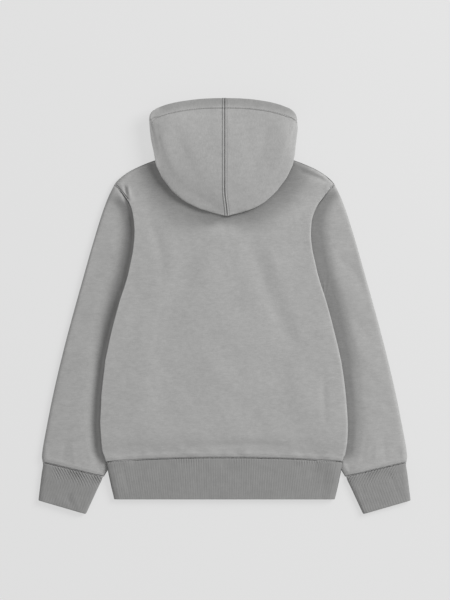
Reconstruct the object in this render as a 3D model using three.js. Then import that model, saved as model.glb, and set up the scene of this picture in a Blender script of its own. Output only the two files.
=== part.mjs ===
// A toddler's fleece hoodie, laid flat on its front with the hood thrown back over the shoulders.
// Millimetres. +Z is up from the surface it lies on, +Y points from the hem to the hood and +X to the
// right of a view from above. The origin is under the middle of the garment, on that surface.
import * as THREE from "three";

// Driving dimensions.
const FLEECE = 2.3; // wall of the body, the sleeves and the ribs
const HOOD_FLEECE = 2; // wall of the hood
const SEAM = 0.3; // gap between two pieces that are sewn together
const LOFT = 3.8; // most room between two layers that lie on each other
const FLAT = 2 * FLEECE + LOFT; // height of a relaxed double layer
const PRESSED = 2 * FLEECE + SEAM; // height of a double layer with others on top
const EDGE = 6; // how far in from a folded or sewn edge the cloth starts to round
const HEM_CENTRE_Y = -193.7; // seam between the body and the hem rib, at the middle
const HEM_SIDE_Y = -199;
const HEM_EDGE_Y = -247.3; // lower edge of the hem rib
const HEM_EDGE_HALF = 141.6; // half its width there
const HEM_RIBS = 94; // ribs across the upper side of the hem band
const CUFF_RIBS = 22;
const RIB_RISE = 0.5;
const UNDERARM = { x: 131.8, y: 7.9 };
const SHOULDER_TIP = { x: 140.5, y: 156.4 };
const NECK_SIDE = { x: 63.4, y: 193.5 }; // where the shoulder seam meets the neck
const HOOD_LEAN = 3.2; // how far the hood's tip leans to +X

// Outlines of the right half, seen from above.
const SIDE_SEAM = [
  { x: 151.6, y: HEM_SIDE_Y },
  { x: 156.4, y: -184 },
  { x: 158.7, y: -150 },
  { x: 156.8, y: -115 },
  { x: 151, y: -69 },
  { x: 140.2, y: -23 },
  UNDERARM,
];
const ARMHOLE = [
  UNDERARM,
  { x: 122.2, y: 38.7 },
  { x: 115.8, y: 69.4 },
  { x: 113.2, y: 93 },
  { x: 114.6, y: 115.5 },
  { x: 119.6, y: 131 },
  { x: 129, y: 144.5 },
  SHOULDER_TIP,
];
const SHOULDER = [
  NECK_SIDE,
  { x: 87, y: 187.5 },
  { x: 107.6, y: 179.5 },
  { x: 123.3, y: 171.8 },
  { x: 134, y: 164.1 },
  SHOULDER_TIP,
];
const BACK_NECK = [{ x: 0, y: 180.7 }, { x: 34, y: 183.6 }, NECK_SIDE];
const FRONT_NECK = [
  { x: 0, y: 135.7 },
  { x: 30, y: 144 },
  { x: 49, y: 158 },
  { x: 59.5, y: 175 },
  NECK_SIDE,
];

// The sleeve from the armhole to the cuff seam, a row for each section: its outer edge, and its inner
// edge, which is tucked under the body. follow is how far the section still has the armhole's curve.
const SLEEVE = [
  { outerX: 140.8, outerY: 156.6, innerX: 132.1, innerY: 7.8, follow: 1 },
  { outerX: 149, outerY: 141.1, innerX: 139.6, innerY: -16, follow: 0.8 },
  { outerX: 157.4, outerY: 118, innerX: 134, innerY: -36, follow: 0.5 },
  { outerX: 164.4, outerY: 95, innerX: 123, innerY: -53, follow: 0.25 },
  { outerX: 171.3, outerY: 71.9, innerX: 112.5, innerY: -70, follow: 0.08 },
  { outerX: 182, outerY: 33.5, innerX: 104.5, innerY: -88, follow: 0 },
  { outerX: 192.8, outerY: -4.9, innerX: 105, innerY: -107, follow: 0 },
  { outerX: 203.2, outerY: -43.3, innerX: 108, innerY: -124, follow: 0 },
  { outerX: 212.7, outerY: -81.7, innerX: 113, innerY: -140, follow: 0 },
  { outerX: 221.5, outerY: -120.1, innerX: 121, innerY: -157, follow: 0 },
  { outerX: 228.8, outerY: -158.5, innerX: 133, innerY: -179, follow: 0 },
  { outerX: 233.2, outerY: -181.5, innerX: 143, innerY: -198, follow: 0 },
  { outerX: 234.3, outerY: -193, innerX: 149.5, innerY: -210, follow: 0 },
  { outerX: 233.2, outerY: -199.6, innerX: 154.6, innerY: -218.4, follow: 0 },
];
// The cuff from its seam to its open end, with how deep the cloth is gathered there.
const CUFF = [
  { outerX: 232.9, outerY: -200, innerX: 155.6, innerY: -218.55, gather: 1.1 },
  { outerX: 232.7, outerY: -204, innerX: 156.9, innerY: -223, gather: 1 },
  { outerX: 234.4, outerY: -214, innerX: 161.8, innerY: -233, gather: 0.3 },
  { outerX: 236.6, outerY: -232, innerX: 169.6, innerY: -250, gather: 0 },
  { outerX: 238.6, outerY: -248.6, innerX: 177.3, innerY: -266.5, gather: 0 },
];

// Rows of numbers as objects, under the names of their columns.
const table = (names, rows) =>
  rows.map((row) => Object.fromEntries(names.split(" ").map((name, i) => [name, row[i]])));

// The hood's right half from the middle of the back (first row) to the middle of the front. Each row
// is a line in the cloth. It leaves the neck seam, where neck counts 0 to 1 along the back neckline
// and 1 to 2 along the front one, lies under the hood by way of viaX and viaY, turns up at the fold
// between the heights low and high, and ends at the edge of the face opening. reach is the depth of
// the turn, slip moves its end towards the edge, and crown is how much the cloth above it bulges.
const HOOD = table(
  "neck neckZ viaX viaY foldX foldY low high reach slip edgeX edgeY edgeZ crown",
  [
    [   0, 8.9,    0, 150,    0, 114.8, 8.9, 14.4,   4,    0,    0, 266.5,   20,   9],
    [ 0.2, 8.9,   14, 150,   16,   119, 8.9, 14.6,   4,    0,   11, 266.5, 20.1,   9],
    [ 0.4, 8.9,   28, 155,   32,   125, 8.9, 15.4, 4.5,    0,   22, 266.3, 20.4, 8.6],
    [ 0.6, 8.9,   43, 162,   50,   135, 8.9, 16.6,   5,    0,   33, 265.7, 20.9,   8],
    [0.77, 8.9,   57, 170,   66, 148.4, 8.9, 18.2, 5.5,    0,   44, 264.5, 21.5,   7],
    [ 0.9, 8.9,   67, 180, 78.6, 164.6, 8.9,   20,   6,    0,   54,   263, 22.1,   6],
    [0.97, 8.9,   70, 190, 86.4, 180.4, 9.3, 21.6, 6.5,    0, 63.5, 261.1, 22.7,   5],
    [   1,   6,   68, 198, 89.4,   193, 7.4, 22.6,   7, 0.02,   72, 258.9, 23.1,   4],
    [1.06, 0.6, 60.5, 204, 91.2,   204, 2.2,   23, 7.5, 0.06, 79.5, 256.4, 23.3,   3],
    [1.22,   0,   59, 206, 92.8,   215,   0,   23, 7.5, 0.14, 85.6, 253.6, 23.2,   2],
    [1.45,   0,   54, 200,   94,   225,   0, 22.4, 7.5,  0.3,   90, 250.4, 22.6, 1.2],
    [1.72,   0,   46, 188, 94.5,   232,   0, 21.4,   7, 0.55, 92.4,   247, 21.6, 0.6],
    [   2,   0,   40, 176, 94.6, 236.5,   0,   20, 6.5,  0.8, 93.4, 244.5, 20.2,   0],
  ],
);

// The largest folds of the back, as soft troughs and ridges: two ends, half width and height.
const BACK_FOLDS = [
  { x1: 36, y1: 76, x2: 84, y2: -39, width: 22, rise: -1.1 },
  { x1: 62, y1: 60, x2: 108, y2: -52, width: 18, rise: 0.7 },
  { x1: -93, y1: 104, x2: -76, y2: 40, width: 16, rise: -1 },
  { x1: -48, y1: -181, x2: 80, y2: -180, width: 9, rise: -0.7 },
  { x1: 129, y1: -98, x2: 129, y2: -142, width: 10, rise: -0.6 },
  { x1: -112, y1: 58, x2: -60, y2: -30, width: 24, rise: 0.6 },
];

const smooth = (t) => THREE.MathUtils.smoothstep(t, 0, 1);
const mix = THREE.MathUtils.lerp;
const plan = (rows) => new THREE.SplineCurve(rows.map((p) => new THREE.Vector2(p.x, p.y)));

const sideSeam = plan(SIDE_SEAM);
const armhole = plan(ARMHOLE);
const shoulder = plan(SHOULDER);
const backNeck = plan(BACK_NECK);
const frontNeck = plan(FRONT_NECK);

// A smooth value between the rows of a table, by a column that grows from row to row.
function between(rows, key, column, value) {
  const last = rows.length - 1;
  let i = rows.findIndex((row) => row[key] > value) - 1;
  if (i < 0) i = value < rows[0][key] ? 0 : last - 1;
  const [a, b] = [rows[i], rows[i + 1]];
  const step = b[key] - a[key];
  const slope = (n) => {
    const [p, q] = [rows[Math.max(n - 1, 0)], rows[Math.min(n + 1, last)]];
    return ((q[column] - p[column]) / (q[key] - p[key])) * step;
  };
  const t = THREE.MathUtils.clamp((value - a[key]) / step, 0, 1);
  const [t2, t3] = [t * t, t * t * t];
  return (
    a[column] * (2 * t3 - 3 * t2 + 1) +
    slope(i) * (t3 - 2 * t2 + t) +
    b[column] * (3 * t2 - 2 * t3) +
    slope(i + 1) * (t3 - t2)
  );
}

// How far a cloth edge has turned down at a distance from it: 0 at the edge and 1 once it is flat.
const roundAt = (distance) => {
  const left = 1 - Math.min(distance / EDGE, 1);
  return Math.sqrt(1 - left * left);
};
const EDGE_STEPS = [1, 0.5, 0.17, 0]; // distances from an edge, in parts of EDGE

// Numbered points of a wall: rows of outer points and rows of inner points, whose counts may differ.
class Wall {
  constructor() {
    this.points = [];
    this.faces = [];
  }
  row(points) {
    const start = this.points.length;
    this.points.push(...points);
    return points.map((_, i) => start + i);
  }
  // Faces between two rows of one length.
  strip(a, b, closed) {
    for (let i = 0; i < a.length - (closed ? 0 : 1); i++) {
      const n = (i + 1) % a.length;
      this.faces.push([a[i], a[n], b[n]], [a[i], b[n], b[i]]);
    }
  }
  // Faces between two closed rows of different lengths, each with its own positions round the loop.
  zip(a, atA, b, atB) {
    let [i, j] = [0, 0];
    while (i < a.length || j < b.length) {
      const nextA = i + 1 < a.length ? atA[i + 1] : i < a.length ? 1 : Infinity;
      const nextB = j + 1 < b.length ? atB[j + 1] : j < b.length ? 1 : Infinity;
      const [p, q] = [a[i % a.length], b[j % b.length]];
      if (nextA <= nextB) this.faces.push([p, a[++i % a.length], q]);
      else this.faces.push([p, b[++j % b.length], q]);
    }
  }
  // The closed surface, turned so that its faces point outwards.
  geometry() {
    let volume = 0;
    const [a, b, c] = [new THREE.Vector3(), new THREE.Vector3(), new THREE.Vector3()];
    for (const [i, j, k] of this.faces) {
      a.copy(this.points[i]);
      b.copy(this.points[j]);
      volume += a.dot(b.cross(c.copy(this.points[k])));
    }
    const faces = volume < 0 ? this.faces.map(([i, j, k]) => [i, k, j]) : this.faces;
    const made = new THREE.BufferGeometry().setFromPoints(this.points).setIndex(faces.flat());
    made.computeVertexNormals();
    return made;
  }
}

// A sheet with thickness, from two grids of one size.
function sheet(outer, inner) {
  const wall = new Wall();
  const [top, under] = [outer, inner].map((grid) => grid.map((points) => wall.row(points)));
  for (let i = 0; i + 1 < top.length; i++) {
    wall.strip(top[i], top[i + 1]);
    wall.strip(under[i + 1], under[i]);
    for (const end of [0, top[i].length - 1]) {
      const edge = [top[i][end], top[i + 1][end]];
      const below = [under[i][end], under[i + 1][end]];
      if (end) wall.strip(below, edge);
      else wall.strip(edge, below);
    }
  }
  wall.strip(under[0], top[0]);
  wall.strip(top.at(-1), under.at(-1));
  return wall.geometry();
}

// A tube with a wall, from closed rings outside and inside. at is each point's place round its ring.
function tube(outer, outerAt, inner, innerAt) {
  const wall = new Wall();
  const [out, lining] = [outer, inner].map((rings) => rings.map((points) => wall.row(points)));
  for (let i = 0; i + 1 < out.length; i++) wall.strip(out[i], out[i + 1], true);
  for (let i = 0; i + 1 < lining.length; i++) wall.strip(lining[i + 1], lining[i], true);
  wall.zip(lining[0], innerAt, out[0], outerAt);
  wall.zip(out.at(-1), outerAt, lining.at(-1), innerAt);
  return wall.geometry();
}

// Half the body's width at a height of the plan, from the hem rib's edge to the shoulder's tip.
const SIDE_SAMPLES = 60;
const sideRows = [...sideSeam.getSpacedPoints(SIDE_SAMPLES), ...armhole.getSpacedPoints(SIDE_SAMPLES).slice(1)];
const bodyHalf = (y) =>
  y < HEM_SIDE_Y
    ? mix(SIDE_SEAM[0].x, HEM_EDGE_HALF, (HEM_SIDE_Y - y) / (HEM_SIDE_Y - HEM_EDGE_Y))
    : between(sideRows, "y", "x", Math.min(y, SHOULDER_TIP.y));

// The sleeve's inner edge from the cuff up to where it goes under the body, and the distance to it of
// a point beside it.
const TUCK_START = { x: 136, y: -4 }; // where the sleeve goes under the body
const innerEdge = [
  ...SLEEVE.slice(1).map((row) => ({ x: row.innerX, y: row.innerY })).reverse(),
  TUCK_START,
];
function beyondSleeve(x, y) {
  if (y <= innerEdge.at(-1).y && x >= between(innerEdge, "y", "x", Math.max(y, innerEdge[0].y))) return 0;
  const point = new THREE.Vector3(x, y, 0);
  const near = new THREE.Vector3();
  return Math.min(
    ...innerEdge.slice(1).map((p, i) => {
      const line = new THREE.Line3(
        new THREE.Vector3(innerEdge[i].x, innerEdge[i].y, 0),
        new THREE.Vector3(p.x, p.y, 0),
      );
      return line.closestPointToPoint(point, true, near).distanceTo(point);
    }),
  );
}

// The body's underside: on the surface in the middle and over the sleeves at the sides.
const LIFTED = 13; // how far beside a sleeve the cloth above is still at its full height
const CLIMB = 22; // how far from there it is down again
const OVER_SLEEVE = PRESSED + 2.5 * SEAM;
const bodyBottom = (x, y) =>
  OVER_SLEEVE * smooth(1 - (beyondSleeve(Math.abs(x), y) - LIFTED) / CLIMB);
const foldRise = (x, y) =>
  BACK_FOLDS.reduce((sum, fold) => {
    const line = new THREE.Line3(
      new THREE.Vector3(fold.x1, fold.y1, 0),
      new THREE.Vector3(fold.x2, fold.y2, 0),
    );
    const point = new THREE.Vector3(x, y, 0);
    const away = line.closestPointToPoint(point, true, new THREE.Vector3()).distanceTo(point);
    return sum + fold.rise * smooth(1 - away / fold.width);
  }, 0);
// Its upper side, which stays clear of the front panel inside.
const BODY_HEIGHT = FLAT + SEAM;
const FOLDS_END_Y = 140; // no fold rises or sinks above here
const FOLDS_FADE = 30;
const bodyTop = (x, y) => {
  const least = bodyBottom(x, y) + PRESSED;
  return Math.max(BODY_HEIGHT + foldRise(x, y) * smooth((FOLDS_END_Y - y) / FOLDS_FADE), least);
};

// Plan point of the body's right half. across runs from the middle to the side, up from hem to top.
const SEAM_SHARE = 0.585; // part of the side's height that is the side seam, below the armhole
const NECK_SHARE = 0.42; // part of the top's width that is the neckline
function bodyPlan(neckline, across, up) {
  const side = (v) =>
    v < SEAM_SHARE ? sideSeam.getPointAt(v / SEAM_SHARE) : armhole.getPointAt((v - SEAM_SHARE) / (1 - SEAM_SHARE));
  const top = (u) =>
    u < NECK_SHARE ? neckline.getPointAt(u / NECK_SHARE) : shoulder.getPointAt((u - NECK_SHARE) / (1 - NECK_SHARE));
  const hem = (u) => new THREE.Vector2(u * SIDE_SEAM[0].x, mix(HEM_CENTRE_Y, HEM_SIDE_Y, u * u));
  const middle = (v) => new THREE.Vector2(0, mix(HEM_CENTRE_Y, neckline.getPointAt(0).y, v));
  const rows = hem(across).lerp(top(across), up);
  const columns = middle(up).lerp(side(up), across);
  const corners = hem(0).lerp(hem(1), across).lerp(top(0).lerp(top(1), across), up);
  return rows.add(columns).sub(corners);
}

// A body panel: facing is 1 for the back, which is the upper one, and -1 for the front.
const NECK_COLUMNS = 6;
const SHOULDER_COLUMNS = 6;
const SIDE_ROWS = 9;
const ARMHOLE_ROWS = 8;
const steps = (count) => Array.from({ length: count }, (_, i) => i / count);
function bodyPanel(neckline, facing) {
  const half = SIDE_SEAM[0].x;
  const tall = SHOULDER_TIP.y - HEM_SIDE_Y;
  const columns = [
    ...steps(NECK_COLUMNS).map((t) => ({ part: t * NECK_SHARE, edge: 1 })),
    ...steps(SHOULDER_COLUMNS).map((t) => ({ part: mix(NECK_SHARE, 1 - EDGE / half, t), edge: 1 })),
    ...EDGE_STEPS.map((edge) => ({ part: 1, edge })),
  ];
  const rows = [
    ...steps(SIDE_ROWS).map((t) => ({ part: t * SEAM_SHARE, edge: 1 })),
    ...steps(ARMHOLE_ROWS).map((t) => ({ part: mix(SEAM_SHARE, 1 - EDGE / tall, t), edge: 1 })),
    ...EDGE_STEPS.map((edge) => ({ part: 1, edge })),
  ];
  const point = (row, column, inside) => {
    const alongSeam = row.part < SEAM_SHARE - 0.001;
    const onShoulder = column.part > NECK_SHARE - 0.001;
    const inset = (line, sewn) => EDGE * line.edge + (inside && sewn ? FLEECE * (1 - line.edge) : 0);
    const across = column.part === 1 ? 1 - inset(column, alongSeam) / half : column.part;
    const up = row.part === 1 ? 1 - inset(row, onShoulder) / tall : row.part;
    const p = bodyPlan(neckline, across, up);
    const turn =
      (alongSeam ? roundAt(EDGE * column.edge) : 1) * (onShoulder ? roundAt(EDGE * row.edge) : 1);
    const [bottom, top] = [bodyBottom(p.x, p.y), bodyTop(p.x, p.y)];
    const seamZ = (bottom + top) / 2;
    const whole = (top - bottom) / 2 - SEAM / 2 - (inside ? FLEECE : 0);
    return new THREE.Vector3(p.x, p.y, seamZ + facing * (SEAM / 2 + whole * turn));
  };
  const grid = (inside) =>
    rows.map((row) => {
      const right = columns.map((column) => point(row, column, inside));
      const left = right.slice(1).map((p) => new THREE.Vector3(-p.x, p.y, p.z)).reverse();
      return [...left, ...right];
    });
  return sheet(grid(false), grid(true));
}

// Places across a flattened tube, from its outer edge to its inner one, in parts of its width.
function acrossTube(width, count) {
  const [near, far] = [EDGE / width, 1 - EDGE / width];
  const edge = [...EDGE_STEPS].reverse().slice(0, -1);
  return [
    ...edge.map((step) => step * near),
    ...steps(count).map((t) => mix(near, far, t)),
    ...EDGE_STEPS.map((step) => 1 - step * near),
  ];
}
// The same, with the places of a body panel's rows along the armhole.
function acrossSleeve(width) {
  const near = EDGE / width;
  const edge = [...EDGE_STEPS].reverse().slice(0, -1);
  return [
    ...edge.map((step) => step * near),
    ...steps(ARMHOLE_ROWS).map((t) => mix(near, 1, t)),
    ...EDGE_STEPS.map((step) => 1 - step * near),
  ];
}

// One ring of a flattened tube. line gives the plan point at a part of the width, top the height
// there, and rise what is raised on the upper side.
function flatRing(places, belowPlaces, width, line, top, bottom, inside, rise = () => 0) {
  const at = (place) => {
    const p = line(inside ? mix(FLEECE / width, 1 - FLEECE / width, place) : place);
    const turn = roundAt(Math.min(place, 1 - place) * width);
    const [low, high] = [bottom(p.x, p.y), top(p.x, p.y)];
    const middle = (low + high) / 2;
    const half = (high - low) / 2 - (inside ? FLEECE : 0);
    return { p, middle, reach: half * turn, turn };
  };
  const above = places.map((place) => {
    const u = at(place);
    return new THREE.Vector3(u.p.x, u.p.y, u.middle + u.reach + rise(place) * u.turn);
  });
  const below = belowPlaces.slice(1, -1).map((place) => {
    const u = at(place);
    return new THREE.Vector3(u.p.x, u.p.y, u.middle - u.reach);
  });
  return [...above, ...below.reverse()];
}
const ringPlaces = (places, belowPlaces) => [
  ...places.map((place) => place / 2),
  ...belowPlaces.slice(1, -1).map((place) => 1 - place / 2).reverse(),
];

// The sleeve's upper side: pressed flat under the body, full beside it and flush at the shoulder.
const VALLEY_FLOOR = 7; // how far beside the body the sleeve stays low
const VALLEY_SIDE = 18; // how far from there it has its full height
const ARM_HEIGHT = 5.9; // height of its end beside the chest
const ARM_START_Y = 20;
const ARM_CLIMB = 20;
const FLUSH_START_Y = 120; // from here up it grows as high as the body
const FLUSH_CLIMB = 32;
function sleeveTop(x, y) {
  const flush = smooth((y - FLUSH_START_Y) / FLUSH_CLIMB);
  const start = mix(mix(PRESSED, ARM_HEIGHT, smooth((y - ARM_START_Y) / ARM_CLIMB)), FLAT, flush);
  return mix(start, FLAT, smooth((x - bodyHalf(y) - VALLEY_FLOOR) / VALLEY_SIDE));
}
const floor = () => 0;

// Usual widths, in which the points of an outer and an inner ring are matched.
const SLEEVE_WIDTH = 100;
const CUFF_WIDTH = 70;
const HEM_WIDTH = 290;
const ARMHOLE_GAP = new THREE.Vector2(SEAM + 0.1, -0.1); // from the body's armhole to the sleeve
function sleeve() {
  const [first] = SLEEVE;
  const rings = (inside) =>
    SLEEVE.map((row) => {
      const outer = new THREE.Vector2(row.outerX, row.outerY);
      const inner = new THREE.Vector2(row.innerX, row.innerY);
      const line = (place) => {
        const straight = new THREE.Vector2(first.outerX, first.outerY).lerp(
          new THREE.Vector2(first.innerX, first.innerY),
          place,
        );
        const bow = armhole.getPointAt(1 - place).add(ARMHOLE_GAP).sub(straight);
        return outer.clone().lerp(inner, place).addScaledVector(bow, row.follow);
      };
      const width = outer.distanceTo(inner);
      const places = acrossSleeve(width);
      return flatRing(places, places, width, line, sleeveTop, floor, inside);
    });
  const places = acrossSleeve(SLEEVE_WIDTH);
  const at = ringPlaces(places, places);
  return tube(rings(false), at, rings(true), at);
}

// A cuff: ribs raised on its upper side, deeper where it is gathered into the seam.
const CUFF_LINING_COLUMNS = 8;
const CUFF_HEIGHT = FLAT - SEAM;
function cuff() {
  const columns = 2 * CUFF_RIBS;
  const ring = (row, count, inside) => {
    const outer = new THREE.Vector2(row.outerX, row.outerY);
    const inner = new THREE.Vector2(row.innerX, row.innerY);
    const width = outer.distanceTo(inner);
    const line = (place) => outer.clone().lerp(inner, place);
    const top = () => CUFF_HEIGHT;
    const rise = (place) => {
      const [near, far] = [EDGE / width, 1 - EDGE / width];
      const rib = Math.round(((place - near) / (far - near)) * columns);
      return rib > 0 && rib < columns && rib % 2 ? RIB_RISE * (1 + row.gather) : 0;
    };
    const places = acrossTube(width, count);
    const plain = acrossTube(width, CUFF_LINING_COLUMNS);
    return flatRing(places, plain, width, line, top, floor, inside, inside ? undefined : rise);
  };
  const at = (count) => ringPlaces(acrossTube(CUFF_WIDTH, count), acrossTube(CUFF_WIDTH, CUFF_LINING_COLUMNS));
  return tube(
    CUFF.map((row) => ring(row, columns, false)),
    at(columns),
    CUFF.map((row) => ring(row, CUFF_LINING_COLUMNS, true)),
    at(CUFF_LINING_COLUMNS),
  );
}

// The hem band: a flattened tube across the body's whole width, with ribs on its upper side.
const HEM_LINING_COLUMNS = 24;
const HEM_ROWS = [0, 0.4, 1];
function hemBand() {
  const columns = 2 * HEM_RIBS;
  const ring = (down, count, inside) => {
    const half = mix(SIDE_SEAM[0].x, HEM_EDGE_HALF, down);
    const line = (place) => {
      const side = 2 * place - 1;
      const seamY = mix(HEM_CENTRE_Y, HEM_SIDE_Y, side * side) - SEAM;
      return new THREE.Vector2(side * half, mix(seamY, HEM_EDGE_Y, down));
    };
    const rise = (place) => {
      const [near, far] = [EDGE / (2 * half), 1 - EDGE / (2 * half)];
      const rib = Math.round(((place - near) / (far - near)) * columns);
      return rib > 0 && rib < columns && rib % 2 ? RIB_RISE : 0;
    };
    const top = (x, y) => Math.max(FLAT - SEAM, bodyBottom(x, y) + PRESSED);
    const places = acrossTube(2 * half, count);
    const plain = acrossTube(2 * half, HEM_LINING_COLUMNS);
    return flatRing(places, plain, 2 * half, line, top, bodyBottom, inside, inside ? undefined : rise);
  };
  const at = (count) => ringPlaces(acrossTube(HEM_WIDTH, count), acrossTube(HEM_WIDTH, HEM_LINING_COLUMNS));
  return tube(
    HEM_ROWS.map((down) => ring(down, columns, false)),
    at(columns),
    HEM_ROWS.map((down) => ring(down, HEM_LINING_COLUMNS, true)),
    at(HEM_LINING_COLUMNS),
  );
}

// The hood's neck edge: round the neckline, just inside the opening.
const NECK_GAP = 1.2;
const CORNER_GAP = 1.4; // more room round the corner where the shoulder seam ends
const CORNER_REACH = 0.12; // how far along the neckline that room goes
function hoodNeck(count) {
  const [curve, part] = count < 1 ? [backNeck, count] : [frontNeck, 2 - count];
  const share = THREE.MathUtils.clamp(part, 0, 1);
  const along = curve.getTangentAt(share);
  const away = NECK_GAP + CORNER_GAP * Math.max(1 - Math.abs(count - 1) / CORNER_REACH, 0);
  return curve.getPointAt(share).add(new THREE.Vector2(-along.y, along.x).multiplyScalar(away));
}

const HOOD_STATIONS = 24;
const UNDER_STEPS = 6;
const TURN_STEPS = 5;
const OVER_STEPS = 8;
const NEARBY = 0.02; // how far from a line the fold's direction is taken
const CROWN_SHIFT = 0.8; // under 1, the bulge is nearer to the fold than to the edge
const LEAN_START_Y = 150;
const LEAN_LENGTH = 36;
const LEAN_HALF = 50;
function hoodHalf(mirror) {
  const rows = HOOD.map((row, i) => ({ ...row, s: i / (HOOD.length - 1) }));
  const pick = (s, column) => between(rows, "s", column, s);
  const line = (s) => {
    const at = (x, y) => new THREE.Vector2(pick(s, x), pick(s, y));
    const fold = at("foldX", "foldY");
    const [before, after] = [Math.max(s - NEARBY, 0), Math.min(s + NEARBY, 1)];
    const out = new THREE.Vector2(
      pick(after, "foldY") - pick(before, "foldY"),
      pick(before, "foldX") - pick(after, "foldX"),
    ).normalize();
    if (s === 0) out.set(0, -1);
    const [low, high] = [Math.max(pick(s, "low"), 0), pick(s, "high")];
    const base = fold.clone().addScaledVector(out, -pick(s, "reach"));
    const edge = at("edgeX", "edgeY");
    const start = new THREE.Vector3(base.x, base.y, low);
    const slip = base.clone().lerp(edge, Math.max(pick(s, "slip"), 0));
    const end = new THREE.Vector3(slip.x, slip.y, high);
    const neck = hoodNeck(pick(s, "neck"));
    const neckZ = Math.max(pick(s, "neckZ"), 0);
    const under = new THREE.QuadraticBezierCurve3(
      new THREE.Vector3(Math.max(neck.x, 0), neck.y, neckZ),
      new THREE.Vector3(pick(s, "viaX"), pick(s, "viaY"), (neckZ + low) / 2),
      start,
    );
    const points = under.getPoints(UNDER_STEPS).slice(0, -1);
    const centre = start.clone().add(end).multiplyScalar(0.5);
    const outward = new THREE.Vector3(fold.x, fold.y, centre.z).sub(centre);
    const upward = end.clone().sub(start).multiplyScalar(0.5);
    for (let i = 0; i < TURN_STEPS; i++) {
      const angle = Math.PI * (i / TURN_STEPS - 0.5);
      points.push(
        centre.clone().addScaledVector(outward, Math.cos(angle)).addScaledVector(upward, Math.sin(angle)),
      );
    }
    for (let i = 0; i <= OVER_STEPS; i++) {
      const t = i / OVER_STEPS;
      const p = end.clone().lerp(new THREE.Vector3(edge.x, edge.y, pick(s, "edgeZ")), t);
      p.z += pick(s, "crown") * Math.sin(Math.PI * Math.pow(t, CROWN_SHIFT));
      points.push(p);
    }
    return points;
  };
  const outer = Array.from({ length: HOOD_STATIONS + 1 }, (_, i) => line(i / HOOD_STATIONS));
  const inner = outer.map((points, i) =>
    points.map((p, j) => {
      const [a, b] = [outer[Math.max(i - 1, 0)][j], outer[Math.min(i + 1, HOOD_STATIONS)][j]];
      const [c, d] = [points[Math.max(j - 1, 0)], points[Math.min(j + 1, points.length - 1)]];
      const normal = new THREE.Vector3().subVectors(d, c).cross(new THREE.Vector3().subVectors(b, a));
      if (i === 0) normal.x = 0;
      return p.clone().addScaledVector(normal.normalize(), HOOD_FLEECE);
    }),
  );
  for (const p of [...outer, ...inner].flat()) {
    const lean = HOOD_LEAN * smooth((LEAN_START_Y - p.y) / LEAN_LENGTH) * smooth(1 - p.x / LEAN_HALF);
    p.x = (mirror ? -1 : 1) * (p.x + SEAM / 2) + lean;
  }
  return sheet(outer, inner);
}

const fleece = new THREE.MeshStandardMaterial({ color: 0x9c9d9c, roughness: 0.95, metalness: 0 });
const rib = new THREE.MeshStandardMaterial({ color: 0x7f807f, roughness: 0.95, metalness: 0 });

const hoodie = new THREE.Group();
function add(name, geometry, material) {
  const piece = new THREE.Mesh(geometry, material);
  piece.name = name;
  hoodie.add(piece);
  return piece;
}

add("back_panel", bodyPanel(backNeck, 1), fleece);
add("front_panel", bodyPanel(frontNeck, -1), fleece);
add("sleeve_right", sleeve(), fleece);
add("sleeve_left", sleeve(), fleece).scale.x = -1;
add("cuff_right", cuff(), rib);
add("cuff_left", cuff(), rib).scale.x = -1;
add("hem_rib", hemBand(), rib);
add("hood_right", hoodHalf(false), fleece);
add("hood_left", hoodHalf(true), fleece);

export default hoodie;
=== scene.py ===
"""A toddler's fleece hoodie laid flat on its front, with the hood thrown back over the shoulders.

Each sewn piece is a thin shell on the form of its solid. Its cage gets extra rows beside the seams, is
smoothed, and then takes the soft folds, seam rolls, ribs and gathers of the real cloth. Places and
sizes are in millimetres of the plan, x to the right and y towards the hood. Meshes are in metres.
"""

from __future__ import annotations

import logging
import math
from collections.abc import Callable, Sequence
from dataclasses import dataclass, field, replace
from enum import Enum

import bmesh
import bpy
import numpy as np
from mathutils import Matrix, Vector
from mathutils.bvhtree import BVHTree
from mathutils.kdtree import KDTree


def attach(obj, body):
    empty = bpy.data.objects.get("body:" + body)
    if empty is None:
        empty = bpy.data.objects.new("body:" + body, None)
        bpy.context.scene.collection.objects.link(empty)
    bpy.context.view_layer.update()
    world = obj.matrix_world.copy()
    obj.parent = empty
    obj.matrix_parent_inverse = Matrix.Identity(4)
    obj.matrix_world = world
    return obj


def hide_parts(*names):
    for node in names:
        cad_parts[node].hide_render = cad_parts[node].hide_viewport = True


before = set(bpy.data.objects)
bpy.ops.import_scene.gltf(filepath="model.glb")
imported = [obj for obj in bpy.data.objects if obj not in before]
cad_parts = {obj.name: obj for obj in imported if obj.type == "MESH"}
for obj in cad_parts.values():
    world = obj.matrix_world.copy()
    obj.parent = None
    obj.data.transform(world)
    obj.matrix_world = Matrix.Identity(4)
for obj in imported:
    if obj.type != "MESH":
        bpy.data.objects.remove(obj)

log = logging.getLogger("hoodie")

MM = 0.001
BODY = "root"
MERGE = 0.00002  # points closer than this are one point
SHARP = math.radians(60)  # an edge of the cage that turns more is the rim of a wall
SEED = 7

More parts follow.
